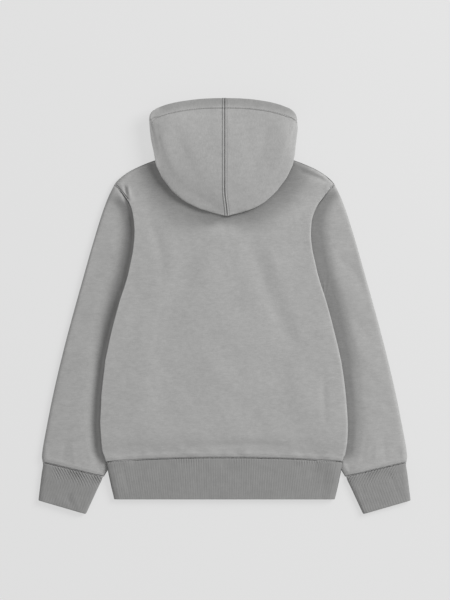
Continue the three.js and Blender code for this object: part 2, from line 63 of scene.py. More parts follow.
# Seams and edges of the plan, as in the cut of the garment.
HEM_SEAM_CENTRE_Y = -193.7
HEM_SEAM_SIDE_Y = -199.0
HEM_SEAM_HALF = 151.6
HEM_EDGE_Y = -247.3
CUFF_SEAM_OUTER = (233.0, -199.8)
CUFF_SEAM_INNER = (155.1, -218.5)
CUFF_LENGTH = 49.0
SEAM_APART = 0.3  # between two solids that are sewn together
CUFF_HEIGHT = 8.1
HOOD_EDGE_X = (0.0, 11.0, 22.0, 33.0, 44.0, 54.0, 63.5, 72.0, 79.5, 85.6, 90.0, 92.4, 95.0)
HOOD_EDGE_Y = (266.5, 266.5, 266.3, 265.7, 264.5, 263.0, 261.1, 258.9, 256.4, 253.6, 250.4, 247.0, 240.0)
HOOD_CORNER_X = 84.0  # past it the rows of the hood's hem run straight out
HOOD_LEAN = 3.2
HOOD_LEAN_START_Y = 150.0
HOOD_LEAN_LENGTH = 36.0
HOOD_HEM = 13.2  # depth of the folded hem round the face opening
TOPSTITCH = 2.9  # distance of a row of topstitching from the middle seam
ARMHOLE_SHOWN_Y = {-1: 137.0, 1: 148.0}  # on the left and the right the armhole seam shows above it

Plan = np.ndarray
Line = Callable[[Plan], Plan]
Window = tuple[float | Plan, float]


def smooth(t: Plan) -> Plan:
    """Rises softly from 0 to 1 while t goes from 0 to 1."""
    t = np.clip(t, 0.0, 1.0)
    return t * t * (3 - 2 * t)


def ramp(value: Plan, window: Window) -> Plan:
    """Rises softly from 0 to 1 from a start over a run, which is below 0 where lower values give 1."""
    start, run = window
    return smooth((value - start) / run)


def bell(t: Plan) -> Plan:
    """Falls softly from 1 at 0 to nearly 0 at 1 and at -1."""
    return np.exp(-4.0 * t * t)


def uneven(x: Plan, waves: tuple[tuple[float, ...], ...]) -> Plan:
    """Waves of uneven length.

    Args:
        x: places along them.
        waves: for each wave its strength, length and phase, and how much and over what length it wanders.

    Returns:
        Their sum.
    """
    return sum(a * np.sin(x / length + phase + b * np.sin(x / far)) for a, length, phase, b, far in waves)


def points_of(mesh: bpy.types.Mesh) -> np.ndarray:
    """The mesh's points in millimetres, one in each row."""
    points = np.empty(len(mesh.vertices) * 3)
    mesh.vertices.foreach_get("co", points)
    return points.reshape(-1, 3) / MM


def surface_of(mesh: bpy.types.Mesh) -> BVHTree:
    """The mesh's faces, for casting rays at them."""
    points = [vert.co for vert in mesh.vertices]
    return BVHTree.FromPolygons(points, [list(face.vertices) for face in mesh.polygons])


def hem_seam(x: Plan) -> Plan:
    """Height in the plan of the seam between the body and the hem rib."""
    share = x / HEM_SEAM_HALF
    return HEM_SEAM_CENTRE_Y + (HEM_SEAM_SIDE_Y - HEM_SEAM_CENTRE_Y) * share * share


def cuff_seam(x: Plan) -> Plan:
    """Height in the plan of the seam between a sleeve and its cuff."""
    (x1, y1), (x2, y2) = CUFF_SEAM_OUTER, CUFF_SEAM_INNER
    return y1 + (np.abs(x) - x1) * (y2 - y1) / (x2 - x1)


def hood_edge(x: Plan) -> Plan:
    """Height in the plan of the hood's face edge."""
    return np.interp(np.abs(x), HOOD_EDGE_X, HOOD_EDGE_Y)


def hood_middle(y: Plan) -> Plan:
    """Place in x of the hood's middle seam, which leans over at the tip."""
    return HOOD_LEAN * smooth((HOOD_LEAN_START_Y - y) / HOOD_LEAN_LENGTH)


@dataclass(frozen=True)
class Edge:
    """An edge of the plan that is the same on the left and on the right.

    Args:
        x, y: its corners.
    """

    x: tuple[float, ...]
    y: tuple[float, ...]

    def distance(self, x: Plan, y: Plan) -> Plan:
        """Distance of points of the plan from the edge."""
        place = np.stack([np.abs(x), y], 1)
        corners = np.stack([self.x, self.y], 1)
        nearest = np.full(len(place), np.inf)
        for start, end in zip(corners, corners[1:]):
            run = end - start
            part = np.clip((place - start) @ run / (run @ run), 0, 1)
            away = place - start - part[:, None] * run
            nearest = np.minimum(nearest, np.hypot(away[:, 0], away[:, 1]))
        return nearest


BODY_EDGE = Edge(
    x=(151.6, 156.4, 158.7, 156.8, 151.0, 140.2, 131.8, 122.2, 115.8, 113.2, 114.6, 119.6, 129.0, 140.5),
    y=(-199.0, -184.0, -150.0, -115.0, -69.0, -23.0, 7.9, 38.7, 69.4, 93.0, 115.5, 131.0, 144.5, 156.4),
)
HOOD_FOLD = Edge(
    x=(0.0, 16.0, 32.0, 50.0, 66.0, 78.6, 86.4, 89.4, 91.2, 92.8, 94.0, 94.5, 94.7, 94.3, 92.6, 90.0, 85.6),
    y=(114.8, 119, 125, 135, 148.4, 164.6, 180.4, 193, 204, 215, 225, 232, 240.4, 243.4, 247, 250.4, 253.6),
)


def by_side(x: Plan, values: dict[int, float | Plan]) -> Plan:
    """The left or the right one of two values for points of the plan."""
    return np.where(np.asarray(x) < 0, values[-1], values[1])


def from_body(x: Plan, y: Plan) -> Plan:
    """Distance from the body's side edge, above 0 outside the body."""
    outside = np.abs(x) > np.interp(y, BODY_EDGE.y, BODY_EDGE.x)
    return BODY_EDGE.distance(x, y) * np.where(outside, 1, -1)


def from_hood(x: Plan, y: Plan) -> Plan:
    """Distance from the fold and the sides of the hood, above 0 outside the hood."""
    outside = np.abs(x) >= np.interp(y, HOOD_FOLD.y, HOOD_FOLD.x)
    return HOOD_FOLD.distance(x, y) * np.where(outside, 1, -1)


@dataclass(frozen=True)
class Pull:
    """Draws the cloth out towards an edge, so that the fold there is fuller and steeper.

    Args:
        edge: distance from the edge, below 0 on the piece.
        reach: how far from the edge it begins.
        power: its strength on the left and on the right, 1 for none.
    """

    edge: Callable[[Plan, Plan], Plan]
    reach: float
    power: dict[int, float]

    STEP = 0.2

    def draw(self, points: np.ndarray, weight: Plan) -> None:
        """Moves points in the plan.

        Args:
            points: the points.
            weight: how much of the way each point goes.
        """
        x, y = points[:, 0], points[:, 1]
        inward = np.clip(-self.edge(x, y), 0, self.reach)
        self.push(points, (inward - self.reach * (inward / self.reach) ** by_side(x, self.power)) * weight)

    def push(self, points: np.ndarray, amount: Plan) -> None:
        """Moves points out across the edge by some millimetres each."""
        x, y = points[:, 0].copy(), points[:, 1].copy()
        slope_x = (self.edge(x + self.STEP, y) - self.edge(x - self.STEP, y)) / (2 * self.STEP)
        slope_y = (self.edge(x, y + self.STEP) - self.edge(x, y - self.STEP)) / (2 * self.STEP)
        points[:, 0] += amount * slope_x
        points[:, 1] += amount * slope_y


@dataclass(frozen=True)
class Fold:
    """A soft trough or ridge of the cloth between two points of the plan.

    Args:
        x1, y1, x2, y2: its two ends.
        width: half its width.
        rise: its height, below 0 for a trough.
        bow: how far its middle lies to the left of the straight line.
    """

    x1: float
    y1: float
    x2: float
    y2: float
    width: float
    rise: float
    bow: float = 0.0

    def height(self, x: Plan, y: Plan) -> Plan:
        """Height of the fold at points of the plan."""
        run, climb = self.x2 - self.x1, self.y2 - self.y1
        length = math.hypot(run, climb)
        raw = ((x - self.x1) * run + (y - self.y1) * climb) / length**2
        along = np.clip(raw, 0.0, 1.0)
        side = self.bow * 4 * along * (1 - along)
        away_x = x - (self.x1 + along * run - climb / length * side)
        away_y = y - (self.y1 + along * climb + run / length * side)
        fullness = 0.55 + 0.45 * np.sin(math.pi * (0.15 + 0.8 * along))
        return self.rise * fullness * bell(np.hypot(away_x, away_y) / self.width)


@dataclass(frozen=True)
class Ripples:
    """Slight waves that limp cloth has everywhere, from crossing waves of uneven length and direction."""

    shortest: float = 26.0
    longest: float = 80.0
    count: int = 9
    height: float = 0.09

    def at(self, x: Plan, y: Plan) -> Plan:
        """Height of the waves at points of the plan."""
        draw = np.random.RandomState(SEED)
        total = np.zeros_like(x)
        for _ in range(self.count):
            length = draw.uniform(self.shortest, self.longest)
            turn, phase = draw.uniform(0, 2 * math.pi, 2)
            total += np.sin(2 * math.pi * (x * math.cos(turn) + y * math.sin(turn)) / length + phase)
        return self.height * total


RIPPLES = Ripples()
FINE_RIPPLES = Ripples(shortest=8.0, longest=16.0, count=7, height=0.012)


@dataclass(frozen=True)
class Shadow:
    """How much darker a cloth gets beside a higher layer, by the distance from the layer's edge.

    Args:
        at: places along the edge.
        reach: how far the shadow reaches at each of them.
        away: distances, in parts of the reach.
        share: how dark it is at each of them.
        strength: how much of the darkness there is at the places along the edge.
    """

    at: tuple[float, ...]
    reach: tuple[float, ...]
    away: tuple[float, ...]
    share: tuple[float, ...]
    strength: tuple[float, ...] = (1.0, 1.0, 1.0, 1.0)

    def depth(self, along: Plan, distance: Plan) -> Plan:
        """Darkness from 0 to 1 for places along the edge and distances from it."""
        share = np.interp(distance / np.interp(along, self.at, self.reach), self.away, self.share)
        return share * np.interp(along, self.at, self.strength)


FALL = (0.0, 0.12, 0.28, 0.42, 0.6, 0.8, 1.0, 1.25, 1.6)
SLEEVE_SHADOW = {
    -1: Shadow(
        at=(-190, -100, -20, 130), reach=(13, 14, 20, 20), away=FALL,
        share=(0.0, 0.06, 0.34, 0.5, 0.54, 0.38, 0.2, 0.07, 0), strength=(0.62, 0.68, 1, 1),
    ),
    1: Shadow(
        at=(-190, -100, -20, 130), reach=(12, 12, 17, 16), away=FALL,
        share=(0.42, 0.42, 0.4, 0.4, 0.37, 0.24, 0.11, 0.03, 0),
    ),
}
HOOD_SHADOW = {
    -1: Shadow(
        at=(0, 8, 20, 40, 60), reach=(9, 10, 17, 26, 29), away=FALL,
        share=(0.04, 0.2, 0.4, 0.45, 0.43, 0.37, 0.24, 0.1, 0), strength=(1, 1, 1, 0.92, 0.85),
    ),
    1: Shadow(
        at=(0, 8, 20, 40, 60), reach=(10, 12, 19, 23, 27), away=FALL,
        share=(0.6, 0.46, 0.41, 0.39, 0.35, 0.27, 0.17, 0.07, 0), strength=(1, 1, 1, 1, 1),
    ),
}


def folds(*rows: tuple[float, ...]) -> tuple[Fold, ...]:
    """Makes folds from rows of x1, y1, x2, y2, width, rise and, where it isn't 0, bow."""
    return tuple(Fold(*row) for row in rows)


BACK_FOLDS = folds(
    (36, 76, 84, -39, 20, -0.9, -4),
    (62, 62, 108, -52, 18, 0.5),
    (-93, 108, -78, 40, 14, -1.0, 3),
    (-74, 100, -62, 48, 16, 0.3),
    (-8, 92, -34, 8, 32, 0.9),
    (-50, -181, 80, -179, 9, -1.0, 3),
    (128, -96, 129, -146, 9, -0.9),
    (98, 122, 104, 70, 12, -0.4, 2),
    (-112, 58, -62, -32, 24, 0.5),
    (100, 171, 134, 159, 7, -1.6),
    (-127.5, 152, -125.5, 144, 3.6, -2.8),
    (-122.5, 153, -121.5, 139, 3.2, 1.4),
    (-24, 108, 22, 109, 5, 0.7, -2),
    (-88, -60, -40, -120, 16, -0.5),
    (-20, -70, 60, -150, 20, 0.5),
)

SLEEVE_FOLDS = folds(
    (150, 60, 178, 20, 12, -0.8, 3),
    (168, 86, 180, 30, 9, 0.5),
    (168, -20, 198, -50, 12, -0.6, -3),
    (176, -62, 205, -96, 14, 0.6),
    (180, -112, 214, -132, 11, -0.7, 3),
    (176, -196, 182, -168, 7, -0.6),
    (206, -196, 204, -172, 8, -0.5),
    (192, -200, 194, -178, 6, 0.5),
)

CUFF_FOLDS = folds(
    (-201, -243, -197, -253, 6, -0.7),
    (-193, -240, -188, -256, 6, 0.5),
    (212, -216, 222, -240, 6, -0.4),
)

HOOD_FOLDS = folds(
    (-78, 214, -48, 150, 15, 0.7, -5),
    (-58, 222, -34, 166, 13, -0.6, -4),
    (80, 218, 50, 152, 15, 0.8, 5),
    (54, 226, 34, 170, 12, -0.6, 3),
    (-30, 136, -10, 128, 6, -0.6),
    (14, 130, 34, 138, 6, -0.5),
)


class Sock:
    """A shader socket that takes part in Python expressions.

    Args:
        graph: the material's graph, which gets the Math nodes.
        link: the socket whose value it stands for.
    """

    def __init__(self, graph: Graph, link: bpy.types.NodeSocket) -> None:
        """Keeps the graph and the socket."""
        self.graph = graph
        self.link = link

    def _math(self, operation: str, first: Sock | float, second: Sock | float) -> Sock:
        """Adds one Math node and gives its result."""
        return self.graph.node("ShaderNodeMath", {"operation": operation}, {0: first, 1: second})

    def __add__(self, other: Sock | float) -> Sock:
        """self + other."""
        return self._math("ADD", self, other)

    def __radd__(self, other: float) -> Sock:
        """other + self."""
        return self._math("ADD", other, self)

    def __sub__(self, other: Sock | float) -> Sock:
        """self - other."""
        return self._math("SUBTRACT", self, other)

    def __mul__(self, other: Sock | float) -> Sock:
        """self * other."""
        return self._math("MULTIPLY", self, other)


class Graph:
    """The node graph of one material, with a Principled shader at its end."""

    def __init__(self, name: str) -> None:
        """Makes the material and its shader.

        Args:
            name: the material's name.
        """
        self.material = bpy.data.materials.new(name)
        self.material.use_nodes = True
        self.tree = self.material.node_tree
        self.shader = self.tree.nodes["Principled BSDF"]

    def node(self, kind: str, settings: dict, values: dict, output: int | str = 0) -> Sock:
        """Adds a node.

        Args:
            kind: the node's type.
            settings: its properties, set before the sockets.
            values: for each input socket a number, a colour, a vector or a Sock.
            output: which output is given back.

        Returns:
            The output as a Sock.
        """
        made = self.tree.nodes.new(kind)
        for name, value in settings.items():
            setattr(made, name, value)
        for name, value in values.items():
            self.feed(made.inputs[name], value)
        return Sock(self, made.outputs[output])

    def feed(self, socket: bpy.types.NodeSocket, value: Sock | float | Sequence[float]) -> None:
        """Links a socket, or sets its constant."""
        if isinstance(value, Sock):
            self.tree.links.new(value.link, socket)
        else:
            socket.default_value = value

    def place(self) -> Sock:
        """The point of the piece in its own frame, in metres."""
        return self.node("ShaderNodeTexCoord", {}, {}, "Object")

    def noise(self, place: Sock, size: float, detail: float = 2.0, stretch: tuple = (1, 1, 1)) -> Sock:
        """Cloudy noise from 0 to 1.

        Args:
            place: the point.
            size: length of one cloud, in millimetres.
            detail: how many finer layers it has.
            stretch: how many times longer the clouds are along each axis.

        Returns:
            The noise.
        """
        scale = tuple(1 / (size * MM * s) for s in stretch)
        there = self.node("ShaderNodeVectorMath", {"operation": "MULTIPLY"}, {0: place, 1: scale})
        return self.node("ShaderNodeTexNoise", {}, {"Vector": there, "Scale": 1.0, "Detail": detail})

    def attribute(self, name: str) -> Sock:
        """A number that each point of the piece carries."""
        return self.node("ShaderNodeAttribute", {"attribute_name": name}, {}, "Fac")

    def mix(self, share: Sock, low: Sock | Sequence[float], high: Sequence[float]) -> Sock:
        """A colour between two others."""
        settings = {"data_type": "RGBA", "clamp_factor": True}
        return self.node("ShaderNodeMix", settings, {0: share, 6: low, 7: high}, 2)

    def bump(self, height: Sock, depth: float, under: Sock | None = None) -> Sock:
        """A normal that follows a height.

        Args:
            height: the height from 0 to 1.
            depth: how many millimetres 1 is.
            under: another bump below this one.

        Returns:
            The normal.
        """
        values = {"Strength": 1.0, "Distance": depth * MM, "Height": height}
        if under:
            values["Normal"] = under
        return self.node("ShaderNodeBump", {}, values)


class Slot(Enum):
    """The finishes that the record names."""

    FLEECE = "fleece"
    RIB = "rib_knit"


@dataclass(frozen=True)
class Finish:
    """A knitted cloth: its colours and the grain of its face.

    Args:
        name: the material's name.
        slot: the record's slot, which is not used.
        dark, light: the colours that its mottling runs between.
        lit_and_worn: the colour that the cloth lightens towards, for its washed, faded edges and for
            painted light where the lamp leaves it dark.
        deep: the colour of painted shade, deep in a fold or under a layer.
        grain: how many times longer the brushed streaks are along each axis.
        nap: size of the brushed tufts.
        nap_depth: height of the tufts.
        wale: distance between two columns of knitting.
        wale_depth: their relief.
        sheen: share of light that the fibres scatter at a low angle.
    """

    name: str
    slot: Slot
    dark: tuple[float, float, float]
    light: tuple[float, float, float]
    lit_and_worn: tuple[float, float, float]
    deep: tuple[float, float, float] = (0.02, 0.02, 0.02)
    grain: tuple[float, float, float] = (4, 1, 1)
    nap: float = 0.7
    nap_depth: float = 0.16
    wale: float = 0.9
    wale_depth: float = 0.05
    sheen: float = 0.25

    CLOUDS = ((38, 2, (1, 1, 1), 0.3), (6, 3, (1.6, 1, 1), 0.7))  # size, detail, stretch, strength
    STREAK = 1.5
    FIBRE = 0.25
    FIBRE_SHARE = 0.25
    SURFACE = {"Roughness": 0.93, "Specular IOR Level": 0.2, "Sheen Roughness": 0.6}

    def material(self) -> bpy.types.Material:
        """Builds the shader.

        Returns:
            The material.
        """
        graph = Graph(self.name)
        place = graph.place()
        mottling = (*self.CLOUDS, (self.nap * 2, 2, (1, 1, 1), 0.9), (self.STREAK, 2, self.grain, 0.9))
        share: Sock | float = 0.5
        for size, detail, stretch, strength in mottling:
            share = share + (graph.noise(place, size, detail, stretch) - 0.5) * strength
        cloth = graph.mix(share, (*self.dark, 1), (*self.light, 1))
        # Lighter where the first attribute says: partly the cloth's washed, faded look, partly painted
        # light on cloth that the lamp leaves dark.
        lightened = graph.mix(graph.attribute("wear_and_painted_light"), cloth, (*self.lit_and_worn, 1))
        # Painted shade: darker where the second attribute says, beside and under higher layers and along
        # seams.
        colour = graph.mix(graph.attribute("shade"), lightened, (*self.deep, 1))
        tufts = graph.noise(place, self.nap, 3)
        fibres = graph.noise(place, self.FIBRE, 2, (1, 3, 1))
        wales = graph.noise(place, self.wale, 1, (1, 6, 6))
        normal = graph.bump(wales, self.wale_depth)
        nap = tufts * (1 - self.FIBRE_SHARE) + fibres * self.FIBRE_SHARE
        normal = graph.bump(nap, self.nap_depth, under=normal)
        shader = graph.shader.inputs
        graph.feed(shader["Base Color"], colour)
        graph.feed(shader["Normal"], normal)
        for name, value in {**self.SURFACE, "Sheen Weight": self.sheen}.items():
            shader[name].default_value = value
        return graph.material


def grey(level: float) -> tuple[float, float, float]:
    """A neutral grey of the cloth, a touch warm, from its linear level."""
    return (level, level * 0.997, level * 0.985)


FLEECE = Finish("brushed_fleece", Slot.FLEECE, dark=grey(0.315), light=grey(0.42), lit_and_worn=grey(0.62))
HOOD_FLEECE = replace(FLEECE, name="brushed_fleece_hood", grain=(1, 2.5, 1), lit_and_worn=grey(0.7))
RIB = Finish(
    "rib_knit", Slot.RIB, dark=grey(0.225), light=grey(0.29), lit_and_worn=grey(0.36), nap=0.45, nap_depth=0.1,
    grain=(1, 9, 1), sheen=0.15,
)
THREAD = Finish(
    "sewing_thread", Slot.FLEECE, dark=grey(0.2), light=grey(0.26), lit_and_worn=grey(0.4), nap=0.3, nap_depth=0.04
)


@dataclass(frozen=True)
class SeamRows:
    """Extra rows of a cage beside a seam, so that the cloth can roll there.

    Args:
        line: place of the seam across, for a place along it.
        across: 0 where line gives x, 1 where it gives y.
        offsets: distances of the rows from the seam.
    """

    line: Line
    across: int
    offsets: tuple[float, ...]

    def cut(self, cage: bmesh.types.BMesh) -> None:
        """Cuts the rows into a cage: straightens the seam, cuts along planes and bends it back."""
        along = 1 - self.across
        for sign in (-1, 1):
            for vert in cage.verts:
                vert.co[self.across] += sign * float(self.line(np.float64(vert.co[along] / MM))) * MM
            if sign == 1:
                break
            normal = [0.0, 0.0, 0.0]
            normal[self.across] = 1.0
            for offset in self.offsets:
                geometry = cage.verts[:] + cage.edges[:] + cage.faces[:]
                at = [value * offset * MM for value in normal]
                bmesh.ops.bisect_plane(cage, geom=geometry, plane_co=at, plane_no=normal, dist=MERGE)


class Heights:
    """The highest and lowest points of a piece over a grid of the plan."""

    STEP = 3.0
    FILLS = 4
    FAR = 1.0

    def __init__(self, mesh: bpy.types.Mesh) -> None:
        """Casts rays up and down through the mesh.

        Args:
            mesh: the piece.
        """
        tree = surface_of(mesh)
        flat = points_of(mesh)[:, :2]
        self.low = flat.min(0) - self.STEP
        self.count = np.ceil((flat.max(0) + self.STEP - self.low) / self.STEP).astype(int) + 1
        self.top = self._cast(tree, self.FAR, -1)
        self.bottom = self._cast(tree, -self.FAR, 1)

    def _cast(self, tree: BVHTree, start: float, way: int) -> np.ndarray:
        """Heights where rays from one side meet the piece, spread a little past its outline."""
        found = np.full(self.count, np.nan)
        for i in range(self.count[0]):
            for j in range(self.count[1]):
                x, y = (self.low + (i * self.STEP, j * self.STEP)) * MM
                hit = tree.ray_cast(Vector((x, y, start)), Vector((0, 0, way)))[0]
                if hit:
                    found[i, j] = hit.z / MM
        for _ in range(self.FILLS):
            padded = np.pad(found, 1, constant_values=np.nan)
            around = [
                padded[1 + i : padded.shape[0] - 1 + i, 1 + j : padded.shape[1] - 1 + j]
                for i in (-1, 0, 1)
                for j in (-1, 0, 1)
            ]
            stack = np.stack(around)
            known = ~np.isnan(stack)
            total = np.where(known, stack, 0).sum(0) / np.maximum(known.sum(0), 1)
            found = np.where(np.isnan(found) & known.any(0), total, found)
        return np.nan_to_num(found)

    def side(self, x: Plan, y: Plan, z: Plan) -> Plan:
        """1 on the piece's upper side, -1 on its lower side, and between them on its edges."""
        place = (np.stack([x, y], 1) - self.low) / self.STEP
        cell = np.clip(place.astype(int), 0, self.count - 2)
        part = np.clip(place - cell, 0, 1)

        def pick(grid: np.ndarray) -> Plan:
            """The grid's value between its four nearest points."""
            (i, j), (u, v) = cell.T, part.T
            near = grid[i, j] * (1 - v) + grid[i, j + 1] * v
            far = grid[i + 1, j] * (1 - v) + grid[i + 1, j + 1] * v
            return near * (1 - u) + far * u

        top, bottom = pick(self.top), pick(self.bottom)
        half = np.maximum((top - bottom) / 2, 0.5)
        return np.clip((z - (top + bottom) / 2) / half, -1, 1)


@dataclass(frozen=True)
class Cut:
    """The flat cut of what shows of a piece: width, length and area in metres."""

    width: float
    length: float
    area: float


@dataclass
class Cloth:
    """A sewn piece, as a thin shell on the form of its solid.

    Args:
        node: the solid's name.
        finish: its cloth.
        cut: its flat cut, which is not used.
        rests_on: what it lies on, which is not used.
        held: how it is held, which is not used.
        levels: how often the cage is divided.
        rows: extra rows beside its seams.
        folds: its soft folds.
    """

    node: str
    finish: Finish
    cut: Cut
    rests_on: tuple[str, ...] = ()
    held: str = "laid"
    levels: int = 3
    rows: tuple[SeamRows, ...] = ()
    folds: tuple[Fold, ...] = ()
    on_it: list[bpy.types.Object] = field(default_factory=list)

    GROOVE = 1.7  # depth of the cloth's dip at a seam
    GROOVE_HALF = 2.0
    ROLL = 0.6  # height of the soft roll beside it
    ROLL_AT = 5.0
    ROLL_HALF = 5.0
    SEAM_SHADE = 0.75
    SEAM_SHADE_HALF = 1.1
    OPEN_CREASE = 0.0  # how sharp a rounded edge stays
    RIM_SHARE = 0.4  # share of the height where one side turns into the other
    JOIN_TURN = math.radians(50)  # triangles that turn less become one quad
    JOIN_SHAPE = math.radians(110)

    def is_open(self, x: float, y: float) -> bool:
        """Whether a rim there is an open edge, which is rounded, and no seam."""
        return False

    def is_seam(self, x: float, y: float) -> bool:
        """Whether a rim there is a seam with a dip along it."""
        return not self.is_open(x, y)

    def shape_cage(self, cage: bmesh.types.BMesh) -> None:
        """Changes the cage before it is divided."""

    def make_cage(self, mesh: bpy.types.Mesh) -> list[Vector]:
        """Turns the solid's triangles into a cage of quads with seam rows and sharp rims.

        Args:
            mesh: a copy of the solid's mesh.

        Returns:
            Points along the rims that are seams.
        """
        cage = bmesh.new()
        cage.from_mesh(mesh)
        bmesh.ops.remove_doubles(cage, verts=cage.verts, dist=MERGE)
        self.shape_cage(cage)
        limits = {"angle_face_threshold": self.JOIN_TURN, "angle_shape_threshold": self.JOIN_SHAPE}
        bmesh.ops.join_triangles(cage, faces=cage.faces, **limits)
        for rows in self.rows:
            rows.cut(cage)
        layer = cage.edges.layers.float.get("crease_edge") or cage.edges.layers.float.new("crease_edge")
        seams = []
        for edge in cage.edges:
            edge[layer] = 0.0
            if not edge.is_manifold or edge.calc_face_angle() < SHARP:
                continue
            middle = (edge.verts[0].co + edge.verts[1].co) / 2 / MM
            if self.is_open(middle.x, middle.y):
                edge[layer] = self.OPEN_CREASE
                continue
            edge[layer] = 1.0
            if self.is_seam(middle.x, middle.y):
                steps = max(int(edge.calc_length() / MM), 1)
                a, b = edge.verts[0].co / MM, edge.verts[1].co / MM
                seams += [a.lerp(b, i / steps) for i in range(steps + 1)]
        cage.to_mesh(mesh)
        cage.free()
        return seams

    def build(self) -> bpy.types.Object:
        """Builds the shell.

        Returns:
            The finished piece.
        """
        bpy.ops.object.select_all(action="DESELECT")
        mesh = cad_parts[self.node].data.copy()
        mesh.materials.clear()
        piece = bpy.data.objects.new(self.node + "_cloth", mesh)
        bpy.context.scene.collection.objects.link(piece)
        seams = self.make_cage(mesh)
        bpy.context.view_layer.objects.active = piece
        piece.select_set(True)
        divide = piece.modifiers.new("divide", "SUBSURF")
        divide.levels = divide.render_levels = self.levels
        bpy.ops.object.modifier_apply(modifier=divide.name)
        self.sculpt(piece, seams)
        bpy.ops.object.shade_smooth()
        return piece

    def sculpt(self, piece: bpy.types.Object, seams: list[Vector]) -> None:
        """Moves the divided shell's points into the real cloth's folds, rolls and ribs.

        Args:
            piece: the shell.
            seams: points along its seams.
        """
        mesh = piece.data
        points = points_of(mesh)
        x, y, z = points.T
        side = Heights(mesh).side(x, y, z)
        above = smooth(side / self.RIM_SHARE)
        below = smooth(-side / self.RIM_SHARE)
        gap = self.gap_to(seams, points)
        dip = self.ROLL * bell((gap - self.ROLL_AT) / self.ROLL_HALF)
        dip -= self.GROOVE * bell(gap / self.GROOVE_HALF)
        points[:, 2] = z + above * (self.relief(x, y) + dip) - below * np.minimum(dip, 0)
        points[:, 2] += self.extra(x, y, z, above)
        points[:, 2] = np.maximum(points[:, 2], 0.0)
        seam_dark = self.SEAM_SHADE * bell(gap / self.SEAM_SHADE_HALF)
        shade = np.maximum(self.shade(x, y, side), seam_dark)
        # Each point gets how much lighter it is painted (faded look and painted light) and how dark its
        # painted shade is.
        for name, value in (("wear_and_painted_light", self.wear_and_painted_light(x, y, side)), ("shade", shade)):
            layer = mesh.attributes.new(name, "FLOAT", "POINT")
            layer.data.foreach_set("value", value.astype(np.float32))
        self.close(points, above)
        mesh.vertices.foreach_set("co", (points * MM).ravel())
        mesh.update()

    @staticmethod
    def gap_to(seams: list[Vector], points: np.ndarray) -> Plan:
        """Distance of each point from the nearest seam."""
        if not seams:
            return np.full(len(points), 1000.0)
        tree = KDTree(len(seams))
        for i, seam in enumerate(seams):
            tree.insert(seam, i)
        tree.balance()
        return np.array([tree.find(point)[2] for point in points])

    def relief(self, x: Plan, y: Plan) -> Plan:
        """Height of the folds and waves on the upper side."""
        total = RIPPLES.at(x, y) + FINE_RIPPLES.at(x, y)
        return total + sum(fold.height(x, y) for fold in self.folds)

    def extra(self, x: Plan, y: Plan, z: Plan, above: Plan) -> Plan:
        """More height, such as ribs."""
        return np.zeros_like(x)

    def close(self, points: np.ndarray, above: Plan) -> None:
        """Moves points in the plan, such as those along a seam that closes."""

    def wear_and_painted_light(self, x: Plan, y: Plan, side: Plan) -> Plan:
        """How much lighter the cloth is painted, from 0 to 1: partly its washed, faded look, partly painted
        light.
        """
        return np.zeros_like(x)

    def shade(self, x: Plan, y: Plan, side: Plan) -> Plan:
        """How dark the painted shade is where the cloth lies beside or under another layer, from 0 to 1."""
        return np.zeros_like(x)

    def dress(self, piece: bpy.types.Object, material: bpy.types.Material) -> None:
        """Gives the piece its cloth, hides its solid, hangs it on the body and logs its faces.

        Args:
            piece: the shell.
            material: its finish.
        """
        piece.data.materials.append(material)
        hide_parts(self.node)
        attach(piece, BODY)
        log.info("%s: %d faces", piece.name, len(piece.data.polygons))


